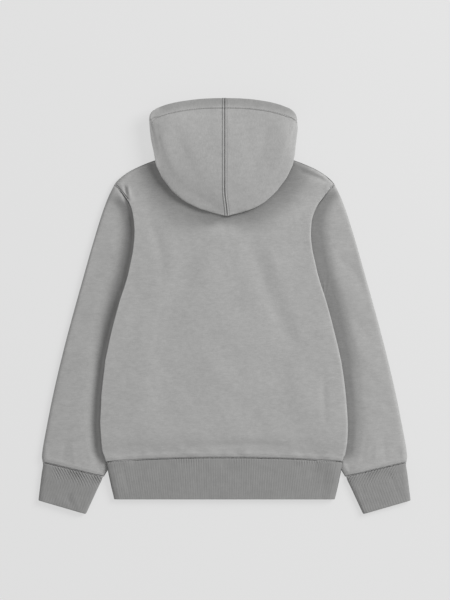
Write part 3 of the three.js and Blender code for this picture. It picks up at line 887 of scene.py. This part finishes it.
class BodyPanel(Cloth):
    """The back or the front of the body."""

    ROW = 2.0
    SIDE_FADE = 12.0  # how far from a side seam the folds have their full height
    SIDE_SEAM = (22.0, -12.0)
    HEM_FACE_Y = -190.0
    # Painted light and a faded look: how much lighter the side edges are, where, and how wide, on the left
    # and the right.
    LIGHTEN = {-1: 1.0, 1: 0.35}
    LIGHTEN_Y = (130.0, -40.0)
    LIGHTEN_SPREAD = {-1: 5.2, 1: 3.0}
    OPEN_CREASE = 0.5
    NEAR = 4.0
    PULL = Pull(from_body, reach=9.0, power={-1: 4.0, 1: 1.6})
    SHIFT_Y = (-199, -176, -161, -130, -100, -69, -38, -7, 23, 54, 85, 112, 136)
    SHIFT = {  # how far the left and the right side lie over to the left
        -1: (0, 0.3, 0.4, 0.45, 1.0, 1.4, 2.0, 1.9, 1.4, 1.4, 1.3, 1.6, 0),
        1: (0, 0, 0.25, 1.15, 1.4, 1.7, 2.0, 1.9, 2.3, 2.6, 3.4, 2.6, 0),
    }
    SHIFT_X = 110.0

    def is_open(self, x: float, y: float) -> bool:
        """The sides are rounded, with the seam hidden under the edge."""
        near = abs(from_body(np.array([x]), np.array([y]))[0]) < self.NEAR
        return near and self.HEM_FACE_Y < y < float(by_side(x, ARMHOLE_SHOWN_Y))

    def sculpt(self, piece: bpy.types.Object, seams: list[Vector]) -> None:
        """Finds the side edges first, where the folds fade out."""
        points = points_of(piece.data)
        rows = np.round(points[:, 1] / self.ROW).astype(int)
        first = rows.min()
        self.half = np.zeros(rows.max() - first + 1)
        np.maximum.at(self.half, rows - first, np.abs(points[:, 0]))
        self.rows_y = (np.arange(len(self.half)) + first) * self.ROW
        super().sculpt(piece, seams)

    def inward(self, x: Plan, y: Plan) -> Plan:
        """Distance from the side edge of the body."""
        return np.interp(y, self.rows_y, self.half) - np.abs(x)

    def relief(self, x: Plan, y: Plan) -> Plan:
        """The folds, which fade out at the side seams."""
        fade = smooth(self.inward(x, y) / self.SIDE_FADE)
        at_side = ramp(y, self.SIDE_SEAM)
        return super().relief(x, y) * (1 - at_side * (1 - fade))

    def close(self, points: np.ndarray, above: Plan) -> None:
        """Lays the sides over to the left."""
        x, y = points[:, 0], points[:, 1]
        shift = by_side(x, {sign: np.interp(y, self.SHIFT_Y, self.SHIFT[sign]) for sign in (-1, 1)})
        points[:, 0] = x - shift * smooth(np.abs(x) / self.SHIFT_X)

    def wear_and_painted_light(self, x: Plan, y: Plan, side: Plan) -> Plan:
        """The side edges are painted lighter: partly a washed, faded look, partly painted light, more and
        wider on the left, which the lamp lights less.
        """
        lightened = bell(self.inward(x, y) / by_side(x, self.LIGHTEN_SPREAD))
        return by_side(x, self.LIGHTEN) * ramp(y, self.LIGHTEN_Y) * lightened


class Back(BodyPanel):
    """The back of the body, the upper of the two panels, puffed up between the hood and the hem."""

    PUFF = 3.4
    HOOD_RUN = 30.0  # how far from the hood, the hem and the shoulders it has its full height
    HEM_RUN = 32.0
    TOP = (150.0, -45.0)
    THIN_FROM = 16.0  # from the side edge the lower face rises too
    ROUND = {-1: 0.3, 1: 1.5}  # how far the left and the right edge roll down
    ROUND_WIDTH = 4.6
    ROUND_FADE = -12.0
    PULL_FADE = -30.0
    TIP_SHADE = 0.62
    TIP_X = 3.0
    TIP_HALF = 24.0
    TIP_AWAY = 2.0
    TIP_DEPTH = 3.4
    MIDDLE = (-6.0, 12.0)  # the shadow of the left side turns into that of the right one there
    PUCKER = 0.3
    PUCKERS = ((1.0, 4.1, 0.0, 1.3, 17.0), (0.8, 7.3, 2.0, 1.0, 29.0))
    PUCKER_AT = 6.0
    PUCKER_HALF = 9.0

    def extra(self, x: Plan, y: Plan, z: Plan, above: Plan) -> Plan:
        """The puffed form, the round side edges and the puckers along the hem seam."""
        up = smooth(from_hood(x, y) / self.HOOD_RUN) * ramp(y, self.TOP)
        puff = self.PUFF * up * smooth((y - hem_seam(x)) / self.HEM_RUN)
        inward = self.inward(x, y)
        moved = puff * (above + (1 - above) * smooth(inward / self.THIN_FROM))
        at_side = ramp(y, (by_side(x, ARMHOLE_SHOWN_Y), self.ROUND_FADE))
        rolled = by_side(x, self.ROUND) * at_side * bell(inward / self.ROUND_WIDTH)
        along_hem = bell((y - hem_seam(x) - self.PUCKER_AT) / self.PUCKER_HALF)
        puckers = self.PUCKER * uneven(x, self.PUCKERS) * along_hem
        return moved + above * (puckers - rolled)

    def shade(self, x: Plan, y: Plan, side: Plan) -> Plan:
        """Darker beside the hood, which lies high above the shoulders."""
        away = from_hood(x, y)
        left, right = (HOOD_SHADOW[sign].depth(np.abs(x), away) for sign in (-1, 1))
        tip = self.TIP_SHADE * bell((x - self.TIP_X) / self.TIP_HALF)
        tip *= bell((away - self.TIP_AWAY) / self.TIP_DEPTH)
        return np.maximum(left + (right - left) * ramp(x, self.MIDDLE), tip)

    def close(self, points: np.ndarray, above: Plan) -> None:
        """Fills the folds along the sides."""
        top = by_side(points[:, 0], ARMHOLE_SHOWN_Y)
        self.PULL.draw(points, above * ramp(points[:, 1], (top, self.PULL_FADE)))
        super().close(points, above)


class Front(BodyPanel):
    """The front of the body, which lies on the surface."""

    GROOVE = 0.8
    ROLL = 0.0

    def relief(self, x: Plan, y: Plan) -> Plan:
        """Nothing is raised: it is covered by the back and rests flat."""
        return np.zeros_like(x)


class Sleeve(Cloth):
    """A sleeve beside the body, pressed down along the body's edge."""

    PRESS = 0.35
    PRESS_SIDE = (23.0, -20.0)
    PRESS_TOP_Y = {-1: 150.0, 1: 156.0}
    PRESS_LOW = (-205.0, 18.0)
    PRESS_FADE = -18.0
    EDGE_SHADE = {-1: 0.035, 1: 0.0}
    CUFF_SEAM_NEAR = 30.0
    # Painted light beside the body's edge on the left sleeve, against the shade there.
    LIGHTEN = {-1: 0.6, 1: 0.0}
    LIGHTEN_AT = 4.5
    LIGHTEN_HALF = 4.5
    RELAX_AWAY = (-6.0, 9.0)
    RELAX_Y = (-8.0, 62.0)
    RELAX_Z = 1.5
    RELAX_TIMES = 16
    TUCK = {-1: 2.5, 1: 5.5}  # how far more the inner edge goes under the body at the armhole
    TUCK_LOW = (-25.0, 22.0)
    TUCK_TOP = (138.0, -22.0)
    TUCK_SIDE = (10.5, -10.0)

    def is_seam(self, x: float, y: float) -> bool:
        """The cuff seam and the shown part of the armhole dip."""
        shown = y > float(by_side(x, ARMHOLE_SHOWN_Y))
        return shown or y - float(cuff_seam(np.float64(x))) < self.CUFF_SEAM_NEAR

    def pressed(self, x: Plan, y: Plan) -> Plan:
        """Where along the sleeve it is pressed down, from 0 to 1."""
        return ramp(y, (by_side(x, self.PRESS_TOP_Y), self.PRESS_FADE)) * ramp(y, self.PRESS_LOW)

    def extra(self, x: Plan, y: Plan, z: Plan, above: Plan) -> Plan:
        """The slope down to the body's edge."""
        return -z * self.PRESS * ramp(from_body(x, y), self.PRESS_SIDE) * self.pressed(x, y)

    def shade(self, x: Plan, y: Plan, side: Plan) -> Plan:
        """Darker beside the body, which lies high above the sleeve."""
        away = from_body(x, y)
        beside = by_side(x, {sign: SLEEVE_SHADOW[sign].depth(y, away) for sign in (-1, 1)})
        return np.maximum(self.pressed(x, y) * beside, by_side(x, self.EDGE_SHADE))

    def wear_and_painted_light(self, x: Plan, y: Plan, side: Plan) -> Plan:
        """Painted light: the left sleeve is a little lighter right beside the body, where the body's edge
        shades it.
        """
        beside = bell((from_body(x, y) - self.LIGHTEN_AT) / self.LIGHTEN_HALF)
        return by_side(x, self.LIGHTEN) * self.pressed(x, y) * beside

    def sculpt(self, piece: bpy.types.Object, seams: list[Vector]) -> None:
        """Then relaxes the cloth at the underarm, where the sleeve begins to lie under the back."""
        super().sculpt(piece, seams)
        x, y, z = points_of(piece.data).T
        chosen = z > self.RELAX_Z
        for value, (low, high) in ((from_body(x, y), self.RELAX_AWAY), (y, self.RELAX_Y)):
            chosen &= (value > low) & (value < high)
        cloth = bmesh.new()
        cloth.from_mesh(piece.data)
        cloth.verts.ensure_lookup_table()
        verts = [cloth.verts[i] for i in np.flatnonzero(chosen)]
        axes = {"use_axis_x": True, "use_axis_y": True, "use_axis_z": True}
        for _ in range(self.RELAX_TIMES):
            bmesh.ops.smooth_vert(cloth, verts=verts, factor=0.5, **axes)
        cloth.to_mesh(piece.data)
        cloth.free()

    def close(self, points: np.ndarray, above: Plan) -> None:
        """Tucks the inner edge under the back along the armhole."""
        x, y = points[:, 0], points[:, 1]
        near = ramp(y, self.TUCK_LOW) * ramp(y, self.TUCK_TOP) * ramp(from_body(x, y), self.TUCK_SIDE)
        points[:, 0] = x - np.sign(x) * by_side(x, self.TUCK) * near

    def relief(self, x: Plan, y: Plan) -> Plan:
        """Folds that lie alike on both sleeves, and waves that don't."""
        total = RIPPLES.at(x, y) + FINE_RIPPLES.at(x, y)
        return total + sum(fold.height(np.abs(x), y) for fold in self.folds)


class HemBand(Cloth):
    """The ribbed band round the bottom of the body."""

    ROLL = 0.0  # the rib lies flat below the seam
    OPEN_DEPTH = 6.0
    GATHER = 3.2  # distance between two gathers below the seam
    GATHER_DEPTH = 0.22
    GATHER_LENGTH = 16.0
    EVEN = 0.55
    UNEVEN = ((0.45, 13.0, 0.0, 0.9, 31.0),)
    SLANT = 0.45
    SLANT_X = (80.0, 50.0)

    def is_open(self, x: float, y: float) -> bool:
        """The lower edge is a fold of the band."""
        return y < HEM_EDGE_Y + self.OPEN_DEPTH

    def extra(self, x: Plan, y: Plan, z: Plan, above: Plan) -> Plan:
        """Uneven gathers below the seam, which turn outwards near the sides."""
        down = hem_seam(x) - y
        strength = self.EVEN + uneven(x, self.UNEVEN)
        turned = x - down * self.SLANT * np.sign(x) * ramp(np.abs(x), self.SLANT_X)
        gathers = np.cos(2 * math.pi * turned / self.GATHER) * smooth(1 - down / self.GATHER_LENGTH)
        return above * self.GATHER_DEPTH * strength * gathers


class Cuff(Cloth):
    """A ribbed cuff, gathered into the sleeve with slanting pleats."""

    ROLL = 0.0
    RIBS = 24
    RIB_DEPTH = 0.1
    PLEAT = 4.0  # distance between two pleats along the seam
    PLEAT_DEPTH = 0.8
    PLEAT_SLANT = 1.05
    PLEAT_BEND = 0.01
    PLEAT_LENGTH = 26.0
    PLEATED = (10.0, 16.0)
    PLEAT_UNEVEN = 0.25
    PLEAT_UNEVEN_RUN = 5.3
    RIB_SPREAD = 0.12

    def shape_cage(self, cage: bmesh.types.BMesh) -> None:
        """Levels the upper side, where finer ribs come later."""
        for vert in cage.verts:
            vert.co.z = min(vert.co.z, CUFF_HEIGHT * MM)

    def is_open(self, x: float, y: float) -> bool:
        """The lower edge is a fold of the cuff."""
        return float(cuff_seam(np.float64(x))) - y > CUFF_LENGTH / 2

    def extra(self, x: Plan, y: Plan, z: Plan, above: Plan) -> Plan:
        """Fine ribs down the cuff and pleats that slant towards the body from the seam."""
        (x1, y1), (x2, y2) = CUFF_SEAM_OUTER, CUFF_SEAM_INNER
        length = math.hypot(x2 - x1, y2 - y1)
        along = ((np.abs(x) - x1) * (x2 - x1) + (y - y1) * (y2 - y1)) / length
        down = np.abs(((np.abs(x) - x1) * (y2 - y1) - (y - y1) * (x2 - x1)) / length)
        share = (along + self.RIB_SPREAD * down) / length
        ribs = self.RIB_DEPTH * np.cos(2 * math.pi * share * self.RIBS) * smooth(down / self.PLEAT_LENGTH)
        slant = along - self.PLEAT_SLANT * down + self.PLEAT_BEND * down * down
        fade = smooth(1 - down / self.PLEAT_LENGTH) * ramp(along, self.PLEATED)
        strength = 1 - self.PLEAT_UNEVEN * (1 - np.sin(slant / self.PLEAT_UNEVEN_RUN))
        pleats = self.PLEAT_DEPTH * strength * fade * np.cos(2 * math.pi * slant / self.PLEAT)
        return above * (ribs + pleats)


class Hood(Cloth):
    """Half of the hood, folded over the back."""

    PADDED = 0.6  # rise of the seam allowance between the middle seam and the topstitching
    STITCH_DIP = 0.45
    STITCH_HALF = 0.9
    MIDDLE_DIP = 1.5
    MIDDLE_HALF = 1.2
    HEM_RISE = 0.5
    MIDDLE_BAND = 3.0
    PULL = Pull(from_hood, reach=11.0, power={-1: 3.2, 1: 2.4})
    PULL_X = (4.0, 24.0)
    LOW_Y = (180.0, 204.0)  # between these the hood comes down from the back to the surface
    LOW_Z = (10.9, 2.5)
    TURN = 4.0
    CORNER_X = 89.0
    CORNER_Y = 250.5
    BULGE_X = (-90, -72, -57, -40, -24, 12, 24, 35, 43, 58, 70, 90)
    BULGE = (0.9, 1.5, 1.8, 1.0, 0.1, 0.0, 0.9, 2.2, 2.8, 2.2, 1.2, 0.8)  # how far its fold hangs out there
    BULGE_RUN = 16.0
    BULGE_Y = (205.0, -25.0)
    SWAY = {-1: 1.5, 1: 0.5}  # how far the left and the right side hang over to the left
    SWAY_Y = (190.0, 25.0)
    SWAY_X = 80.0
    CORNER_SWAY = 1.8  # how far more the right corner does
    CORNER_SWAY_X = (40.0, 40.0)
    CORNER_SWAY_Y = (226.0, 15.0)
    SLACK = 1.3  # how far the face edge has sunk down
    SLACK_MIDDLE = 0.45  # share of that in the middle
    SLACK_X = 50.0
    SLACK_END_X = (100.0, -12.0)
    SLACK_Y = (225.0, 30.0)
    # Painted light and a faded look along the fold, strongest on the left, whose rounded edge the lamp
    # leaves in the shade.
    LIGHTEN = {-1: 1.0, 1: 0.25}
    LIGHTEN_WIDTH = {-1: 8.5, 1: 3.0}
    LIGHTEN_NARROW = 3.0
    LIGHTEN_WIDE_Y = (150.0, 40.0)
    LIGHTEN_CORNER_Y = (238.5, 8.0)
    STEP = 0.6  # half the width of the step at a row of stitches
    SEAM_GAP = 0.4
    SEAM_SHADE = 0.85
    STITCH_SHADE = 0.35
    HEM_STITCH_SHADE = 0.3
    STITCH_SHADE_HALF = 0.7
    HEM_SHADE = 0.2
    HEM_SHADE_RUN = 8.0
    EDGE_FADE = 2.0
    SIDE_SHADE = {-1: 0.03, 1: 0.0}
    LIGHTEN_AT_FOLD = 0.6  # share of the lightening at the fold, next to that at the sides
    LIGHTEN_AT_RIM = 0.75  # share of it right on the rim
    LIGHTEN_AT_CORNER = 0.6
    LIGHTEN_REACH = 1.25

    def is_open(self, x: float, y: float) -> bool:
        """All its edges are folds except the middle seam and the corners of the face opening."""
        corner = abs(x) > self.CORNER_X and y < self.CORNER_Y
        return not corner and abs(x - float(hood_middle(np.float64(y)))) > self.MIDDLE_BAND

    def is_seam(self, x: float, y: float) -> bool:
        """Its seams are shaped by the topstitching."""
        return False

    def extra(self, x: Plan, y: Plan, z: Plan, above: Plan) -> Plan:
        """The hem round the face, the middle seam and the rows of topstitching beside it."""
        middle = np.abs(x - hood_middle(y))
        inside = hood_edge(x) - y
        hem = self.HEM_RISE * ramp(inside, (HOOD_HEM + self.STEP, -2 * self.STEP))
        hem -= self.STITCH_DIP * bell((inside - HOOD_HEM) / self.STITCH_HALF)
        seam = self.PADDED * ramp(middle, (TOPSTITCH + self.STEP, -2 * self.STEP))
        seam -= self.STITCH_DIP * bell((middle - TOPSTITCH) / self.STITCH_HALF)
        seam -= self.MIDDLE_DIP * bell(middle / self.MIDDLE_HALF)
        return above * (hem + seam)

    def close(self, points: np.ndarray, above: Plan) -> None:
        """Fills the fold on the back and the corners, and brings the halves together at the middle."""
        x, y, z = points.T
        low = np.interp(y, self.LOW_Y, self.LOW_Z)
        inward = -from_hood(x, y)
        self.PULL.draw(points, ramp(z, (low, self.TURN)) * ramp(np.abs(x), self.PULL_X))
        bulge = np.interp(x, self.BULGE_X, self.BULGE) * ramp(y, self.BULGE_Y)
        self.PULL.push(points, bulge * smooth(1 - inward / self.BULGE_RUN))
        sway = by_side(x, self.SWAY) * ramp(y, self.SWAY_Y)
        sway += self.CORNER_SWAY * ramp(y, self.CORNER_SWAY_Y) * ramp(x, self.CORNER_SWAY_X)
        points[:, 0] -= sway * smooth(np.abs(x) / self.SWAY_X)
        share = self.SLACK_MIDDLE + (1 - self.SLACK_MIDDLE) * smooth(np.abs(x) / self.SLACK_X)
        slack = self.SLACK * share * ramp(np.abs(x), self.SLACK_END_X)
        points[:, 1] -= slack * ramp(y, self.SLACK_Y)
        middle = hood_middle(points[:, 1])
        near = np.abs(points[:, 0] - middle) < self.SEAM_GAP
        points[near, 0] = middle[near]

    def wear_and_painted_light(self, x: Plan, y: Plan, side: Plan) -> Plan:
        """The fold is painted lighter, the more so on the left: partly a faded look, partly painted light
        on the rounded left edge, which the lamp leaves in the shade.
        """
        inward = -from_hood(x, y)
        wide = ramp(y, self.LIGHTEN_WIDE_Y)
        width = self.LIGHTEN_NARROW + (by_side(x, self.LIGHTEN_WIDTH) - self.LIGHTEN_NARROW) * wide
        at_corner = ramp(y, self.LIGHTEN_CORNER_Y)
        rim = self.LIGHTEN_AT_RIM + (1 - self.LIGHTEN_AT_RIM) * smooth(inward / self.EDGE_FADE)
        rim *= 1 - (1 - self.LIGHTEN_AT_CORNER) * at_corner
        along = self.LIGHTEN_AT_FOLD + (1 - self.LIGHTEN_AT_FOLD) * wide
        return by_side(x, self.LIGHTEN) * along * rim * smooth(self.LIGHTEN_REACH - inward / width)

    def shade(self, x: Plan, y: Plan, side: Plan) -> Plan:
        """The middle seam and the stitches lie deep, and the hem lies a little in the shade."""
        inside = hood_edge(x) - y
        middle = np.abs(x - hood_middle(y))
        deep = self.SEAM_SHADE * bell(middle / self.SEAM_SHADE_HALF) * smooth(inside / self.EDGE_FADE)
        deep += self.STITCH_SHADE * bell((middle - TOPSTITCH) / self.STITCH_SHADE_HALF)
        deep += self.HEM_STITCH_SHADE * bell((inside - HOOD_HEM) / self.STITCH_SHADE_HALF)
        hem = self.HEM_SHADE * smooth((HOOD_HEM - inside) / self.HEM_SHADE_RUN)
        return deep + hem + by_side(x, self.SIDE_SHADE)


@dataclass
class Stitches:
    """A row of machine stitches on a piece.

    Args:
        name: the name of the row's piece.
        path: where it runs in the plan.
        on: the piece it is sewn on.
    """

    name: str
    path: np.ndarray
    on: bpy.types.Object

    PITCH = 3.0
    LENGTH = 2.3
    RADIUS = 0.24
    SIDES = 6
    AHEAD = 0.1  # how far before and behind a stitch the cloth is felt for its slope
    END_SHARE = 0.7
    ARCH = ((-1.0, -0.3), (-0.6, 0.06), (0.0, 0.14), (0.6, 0.06), (1.0, -0.3))

    def build(self) -> bpy.types.Object:
        """Lays one small arched thread for each stitch on the cloth.

        Returns:
            The row as one piece.
        """
        tree = surface_of(self.on.data)
        steps = np.hypot(*np.diff(self.path, axis=0).T)
        run = np.concatenate([[0], np.cumsum(steps)])
        verts: list[Vector] = []
        faces: list[tuple[int, ...]] = []
        for start in np.arange(self.PITCH / 2, run[-1] - self.PITCH / 2, self.PITCH):
            ends = []
            for at in (start - self.AHEAD, start + self.AHEAD):
                x, y = (np.interp(at, run, axis) * MM for axis in self.path.T)
                hit, normal = tree.ray_cast(Vector((x, y, 1)), Vector((0, 0, -1)))[:2]
                if hit:
                    ends.append((hit, normal))
            if len(ends) == 2:
                self.lay(verts, faces, *ends)
        made = bpy.data.meshes.new(self.name)
        made.from_pydata(verts, [], faces)
        made.update()
        piece = bpy.data.objects.new(self.name, made)
        bpy.context.scene.collection.objects.link(piece)
        made.shade_smooth()
        return piece

    def lay(self, verts: list[Vector], faces: list[tuple[int, ...]], first: tuple, second: tuple) -> None:
        """Adds one stitch between two close points of the row."""
        ahead = (second[0] - first[0]).normalized()
        up = first[1].normalized()
        out = ahead.cross(up).normalized()
        base = len(verts)
        for part, rise in self.ARCH:
            centre = first[0] + ahead * (part * self.LENGTH / 2 * MM) + up * (rise * MM)
            radius = self.RADIUS * (self.END_SHARE if abs(part) == 1 else 1) * MM
            for k in range(self.SIDES):
                turn = 2 * math.pi * k / self.SIDES
                verts.append(centre + (out * math.cos(turn) + up * math.sin(turn)) * radius)
        count, sides = len(self.ARCH), self.SIDES
        for i in range(count - 1):
            for k in range(sides):
                n = (k + 1) % sides
                row, above = base + i * sides, base + (i + 1) * sides
                faces.append((row + k, above + k, above + n, row + n))
        faces.append(tuple(base + k for k in range(sides)))
        faces.append(tuple(base + (count - 1) * sides + k for k in reversed(range(sides))))

    def dress(self, piece: bpy.types.Object, material: bpy.types.Material) -> None:
        """Gives the thread its finish."""
        piece.data.materials.append(material)
        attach(piece, BODY)
        log.info("%s: %d faces", piece.name, len(piece.data.polygons))


@dataclass(frozen=True)
class Studio:
    """A pale floor, soft light from the upper right, and a camera straight above."""

    floor_size: float = 6.0
    floor_z: float = -0.0003
    floor_colour: float = 0.16
    floor_glow: float = 0.595
    sky: float = 0.48
    key_energy: float = 100.0
    key_size: float = 1.7
    key_place: tuple[float, float, float] = (2.2, 1.4, 2.2)
    view_centre: tuple[float, float] = (0.00064, 0.0079)
    view_height: float = 0.768
    garment_height: float = 0.006
    lens: float = 260.0
    sensor: float = 36.0

    def build(self) -> None:
        """Makes the floor, the lights and the camera."""
        self.make_floor()
        self.make_lights()
        self.make_camera()

    def make_floor(self) -> None:
        """A plain floor that the garment lies on."""
        bpy.ops.object.select_all(action="DESELECT")
        bpy.ops.mesh.primitive_plane_add(size=self.floor_size, location=(0, 0, self.floor_z))
        floor = bpy.context.object
        floor.name = "floor"
        bpy.ops.object.transform_apply(location=True, rotation=False, scale=False)
        graph = Graph("pale_floor")
        shader = graph.shader.inputs
        shader["Base Color"].default_value = (*[self.floor_colour] * 3, 1)
        shader["Roughness"].default_value = 0.9
        shader["Specular IOR Level"].default_value = 0.0
        shader["Emission Color"].default_value = (1, 1, 1, 1)
        shader["Emission Strength"].default_value = self.floor_glow
        floor.data.materials.append(graph.material)

    def make_lights(self) -> None:
        """A white room and one large soft lamp."""
        world = bpy.data.worlds.new("room")
        world.use_nodes = True
        world.node_tree.nodes["Background"].inputs["Color"].default_value = (1, 1, 1, 1)
        world.node_tree.nodes["Background"].inputs["Strength"].default_value = self.sky
        bpy.context.scene.world = world
        lamp = bpy.data.lights.new("key", "AREA")
        lamp.energy = self.key_energy
        lamp.size = self.key_size
        key = bpy.data.objects.new("key", lamp)
        key.location = self.key_place
        key.rotation_euler = Vector(self.key_place).to_track_quat("Z", "Y").to_euler()
        bpy.context.scene.collection.objects.link(key)

    def make_camera(self) -> None:
        """The camera, whose frame covers the photo's field at the garment's height."""
        data = bpy.data.cameras.new("camera")
        data.lens = self.lens
        data.sensor_width = self.sensor
        camera = bpy.data.objects.new("camera", data)
        distance = self.view_height * self.lens / self.sensor
        camera.location = (*self.view_centre, distance + self.garment_height)
        bpy.context.scene.collection.objects.link(camera)
        bpy.context.scene.camera = camera
        bpy.context.scene.view_settings.view_transform = "Standard"


@dataclass
class Hoodie:
    """The whole garment."""

    hem_rows: tuple[float, ...] = (1.0, 2.6, 7.0)
    seam_rows: tuple[float, ...] = (1.0, 2.4, 5.0, 9.0)
    edge_rows: tuple[float, ...] = (0.9, 3.0)
    cuff_rows: tuple[float, ...] = (1.0, 2.4, 6.0, 9.0, 12.0, 17.0)
    stitch_rows: tuple[float, ...] = (1.0, 2.1, 2.9, 3.7, 5.5)
    hood_hem_rows: tuple[float, ...] = (0.9, 3.0, 11.8, 12.7, 13.7, 14.6)
    hem_stitches: tuple[float, float, int] = (1.0, 93.0, 60)  # start and end of the row, and its points
    seam_stitches: tuple[float, float, int] = (HOOD_EDGE_Y[0] - 2, 118.0, 90)
    finishes: dict[str, bpy.types.Material] = field(default_factory=dict)

    def pieces(self) -> list[Cloth]:
        """The sewn pieces in the order in which they lie on each other.

        Returns:
            The pieces.
        """
        above_hem = SeamRows(hem_seam, 1, self.hem_rows)
        below_hem = SeamRows(hem_seam, 1, tuple(-SEAM_APART - row for row in self.hem_rows))
        hem_edge = SeamRows(lambda x: HEM_EDGE_Y + 0 * x, 1, self.edge_rows)
        above_cuff = SeamRows(cuff_seam, 1, self.seam_rows)
        below_cuff = SeamRows(cuff_seam, 1, tuple(-SEAM_APART - row for row in self.cuff_rows))
        cuff_edge = SeamRows(cuff_seam, 1, tuple(row - CUFF_LENGTH - SEAM_APART for row in self.edge_rows))
        hood_hem = SeamRows(
            lambda x: hood_edge(np.minimum(np.abs(x), HOOD_CORNER_X)),
            1,
            tuple(-row for row in self.hood_hem_rows),
        )
        made: list[Cloth] = [Front("front_panel", FLEECE, Cut(0.328, 0.394, 0.104), levels=2)]
        for hand in ("right", "left"):
            cut = Cut(0.31, 0.374, 0.058)
            seam = {"rows": (above_cuff,), "folds": SLEEVE_FOLDS}
            made.append(Sleeve(f"sleeve_{hand}", FLEECE, cut, ("front_panel",), **seam))
            cut = Cut(0.166, 0.052, 0.0077)
            seam = {"rows": (below_cuff, cuff_edge), "folds": CUFF_FOLDS}
            made.append(Cuff(f"cuff_{hand}", RIB, cut, levels=2, **seam))
        made.append(HemBand("hem_rib", RIB, Cut(0.61, 0.053, 0.032), levels=2, rows=(below_hem, hem_edge)))
        cut = Cut(0.33, 0.394, 0.107)
        made.append(Back("back_panel", FLEECE, cut, ("front_panel",), rows=(above_hem,), folds=BACK_FOLDS))
        for hand, sign in (("right", 1), ("left", -1)):
            middle = SeamRows(hood_middle, 0, tuple(sign * row for row in self.stitch_rows))
            cut = Cut(0.13, 0.23, 0.0198)
            seam = {"rows": (middle, hood_hem), "folds": HOOD_FOLDS}
            made.append(
                Hood(f"hood_{hand}", HOOD_FLEECE, cut, ("back_panel",), held="folded", levels=2, **seam)
            )
        return made

    def material(self, finish: Finish) -> bpy.types.Material:
        """The finish's material, which is made once."""
        if finish.name not in self.finishes:
            self.finishes[finish.name] = finish.material()
        return self.finishes[finish.name]

    def sew(self, hood: Cloth, piece: bpy.types.Object, sign: int) -> None:
        """Lays the rows of stitches on half of the hood.

        Args:
            hood: the half.
            piece: its shell.
            sign: 1 for the right half and -1 for the left one.
        """
        across = np.linspace(*self.hem_stitches)
        hem = np.stack([sign * across, hood_edge(across) - HOOD_HEM], 1)
        up = np.linspace(*self.seam_stitches)
        seam = np.stack([hood_middle(up) + sign * TOPSTITCH, up], 1)
        for part, path in (("hem", hem), ("seam", seam)):
            row = Stitches(f"{hood.node}_{part}_stitches", path, piece)
            thread = row.build()
            row.dress(thread, self.material(THREAD))
            hood.on_it.append(thread)

    def build(self) -> None:
        """Builds and dresses every piece."""
        for cloth in self.pieces():
            piece = cloth.build()
            if isinstance(cloth, Hood):
                self.sew(cloth, piece, 1 if cloth.node.endswith("right") else -1)
            cloth.dress(piece, self.material(cloth.finish))


def main() -> None:
    """Builds the studio and the hoodie."""
    logging.basicConfig(level=logging.INFO, format="%(name)s: %(message)s")
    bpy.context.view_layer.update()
    Studio().build()
    Hoodie().build()


if __name__ == "__main__":
    main()
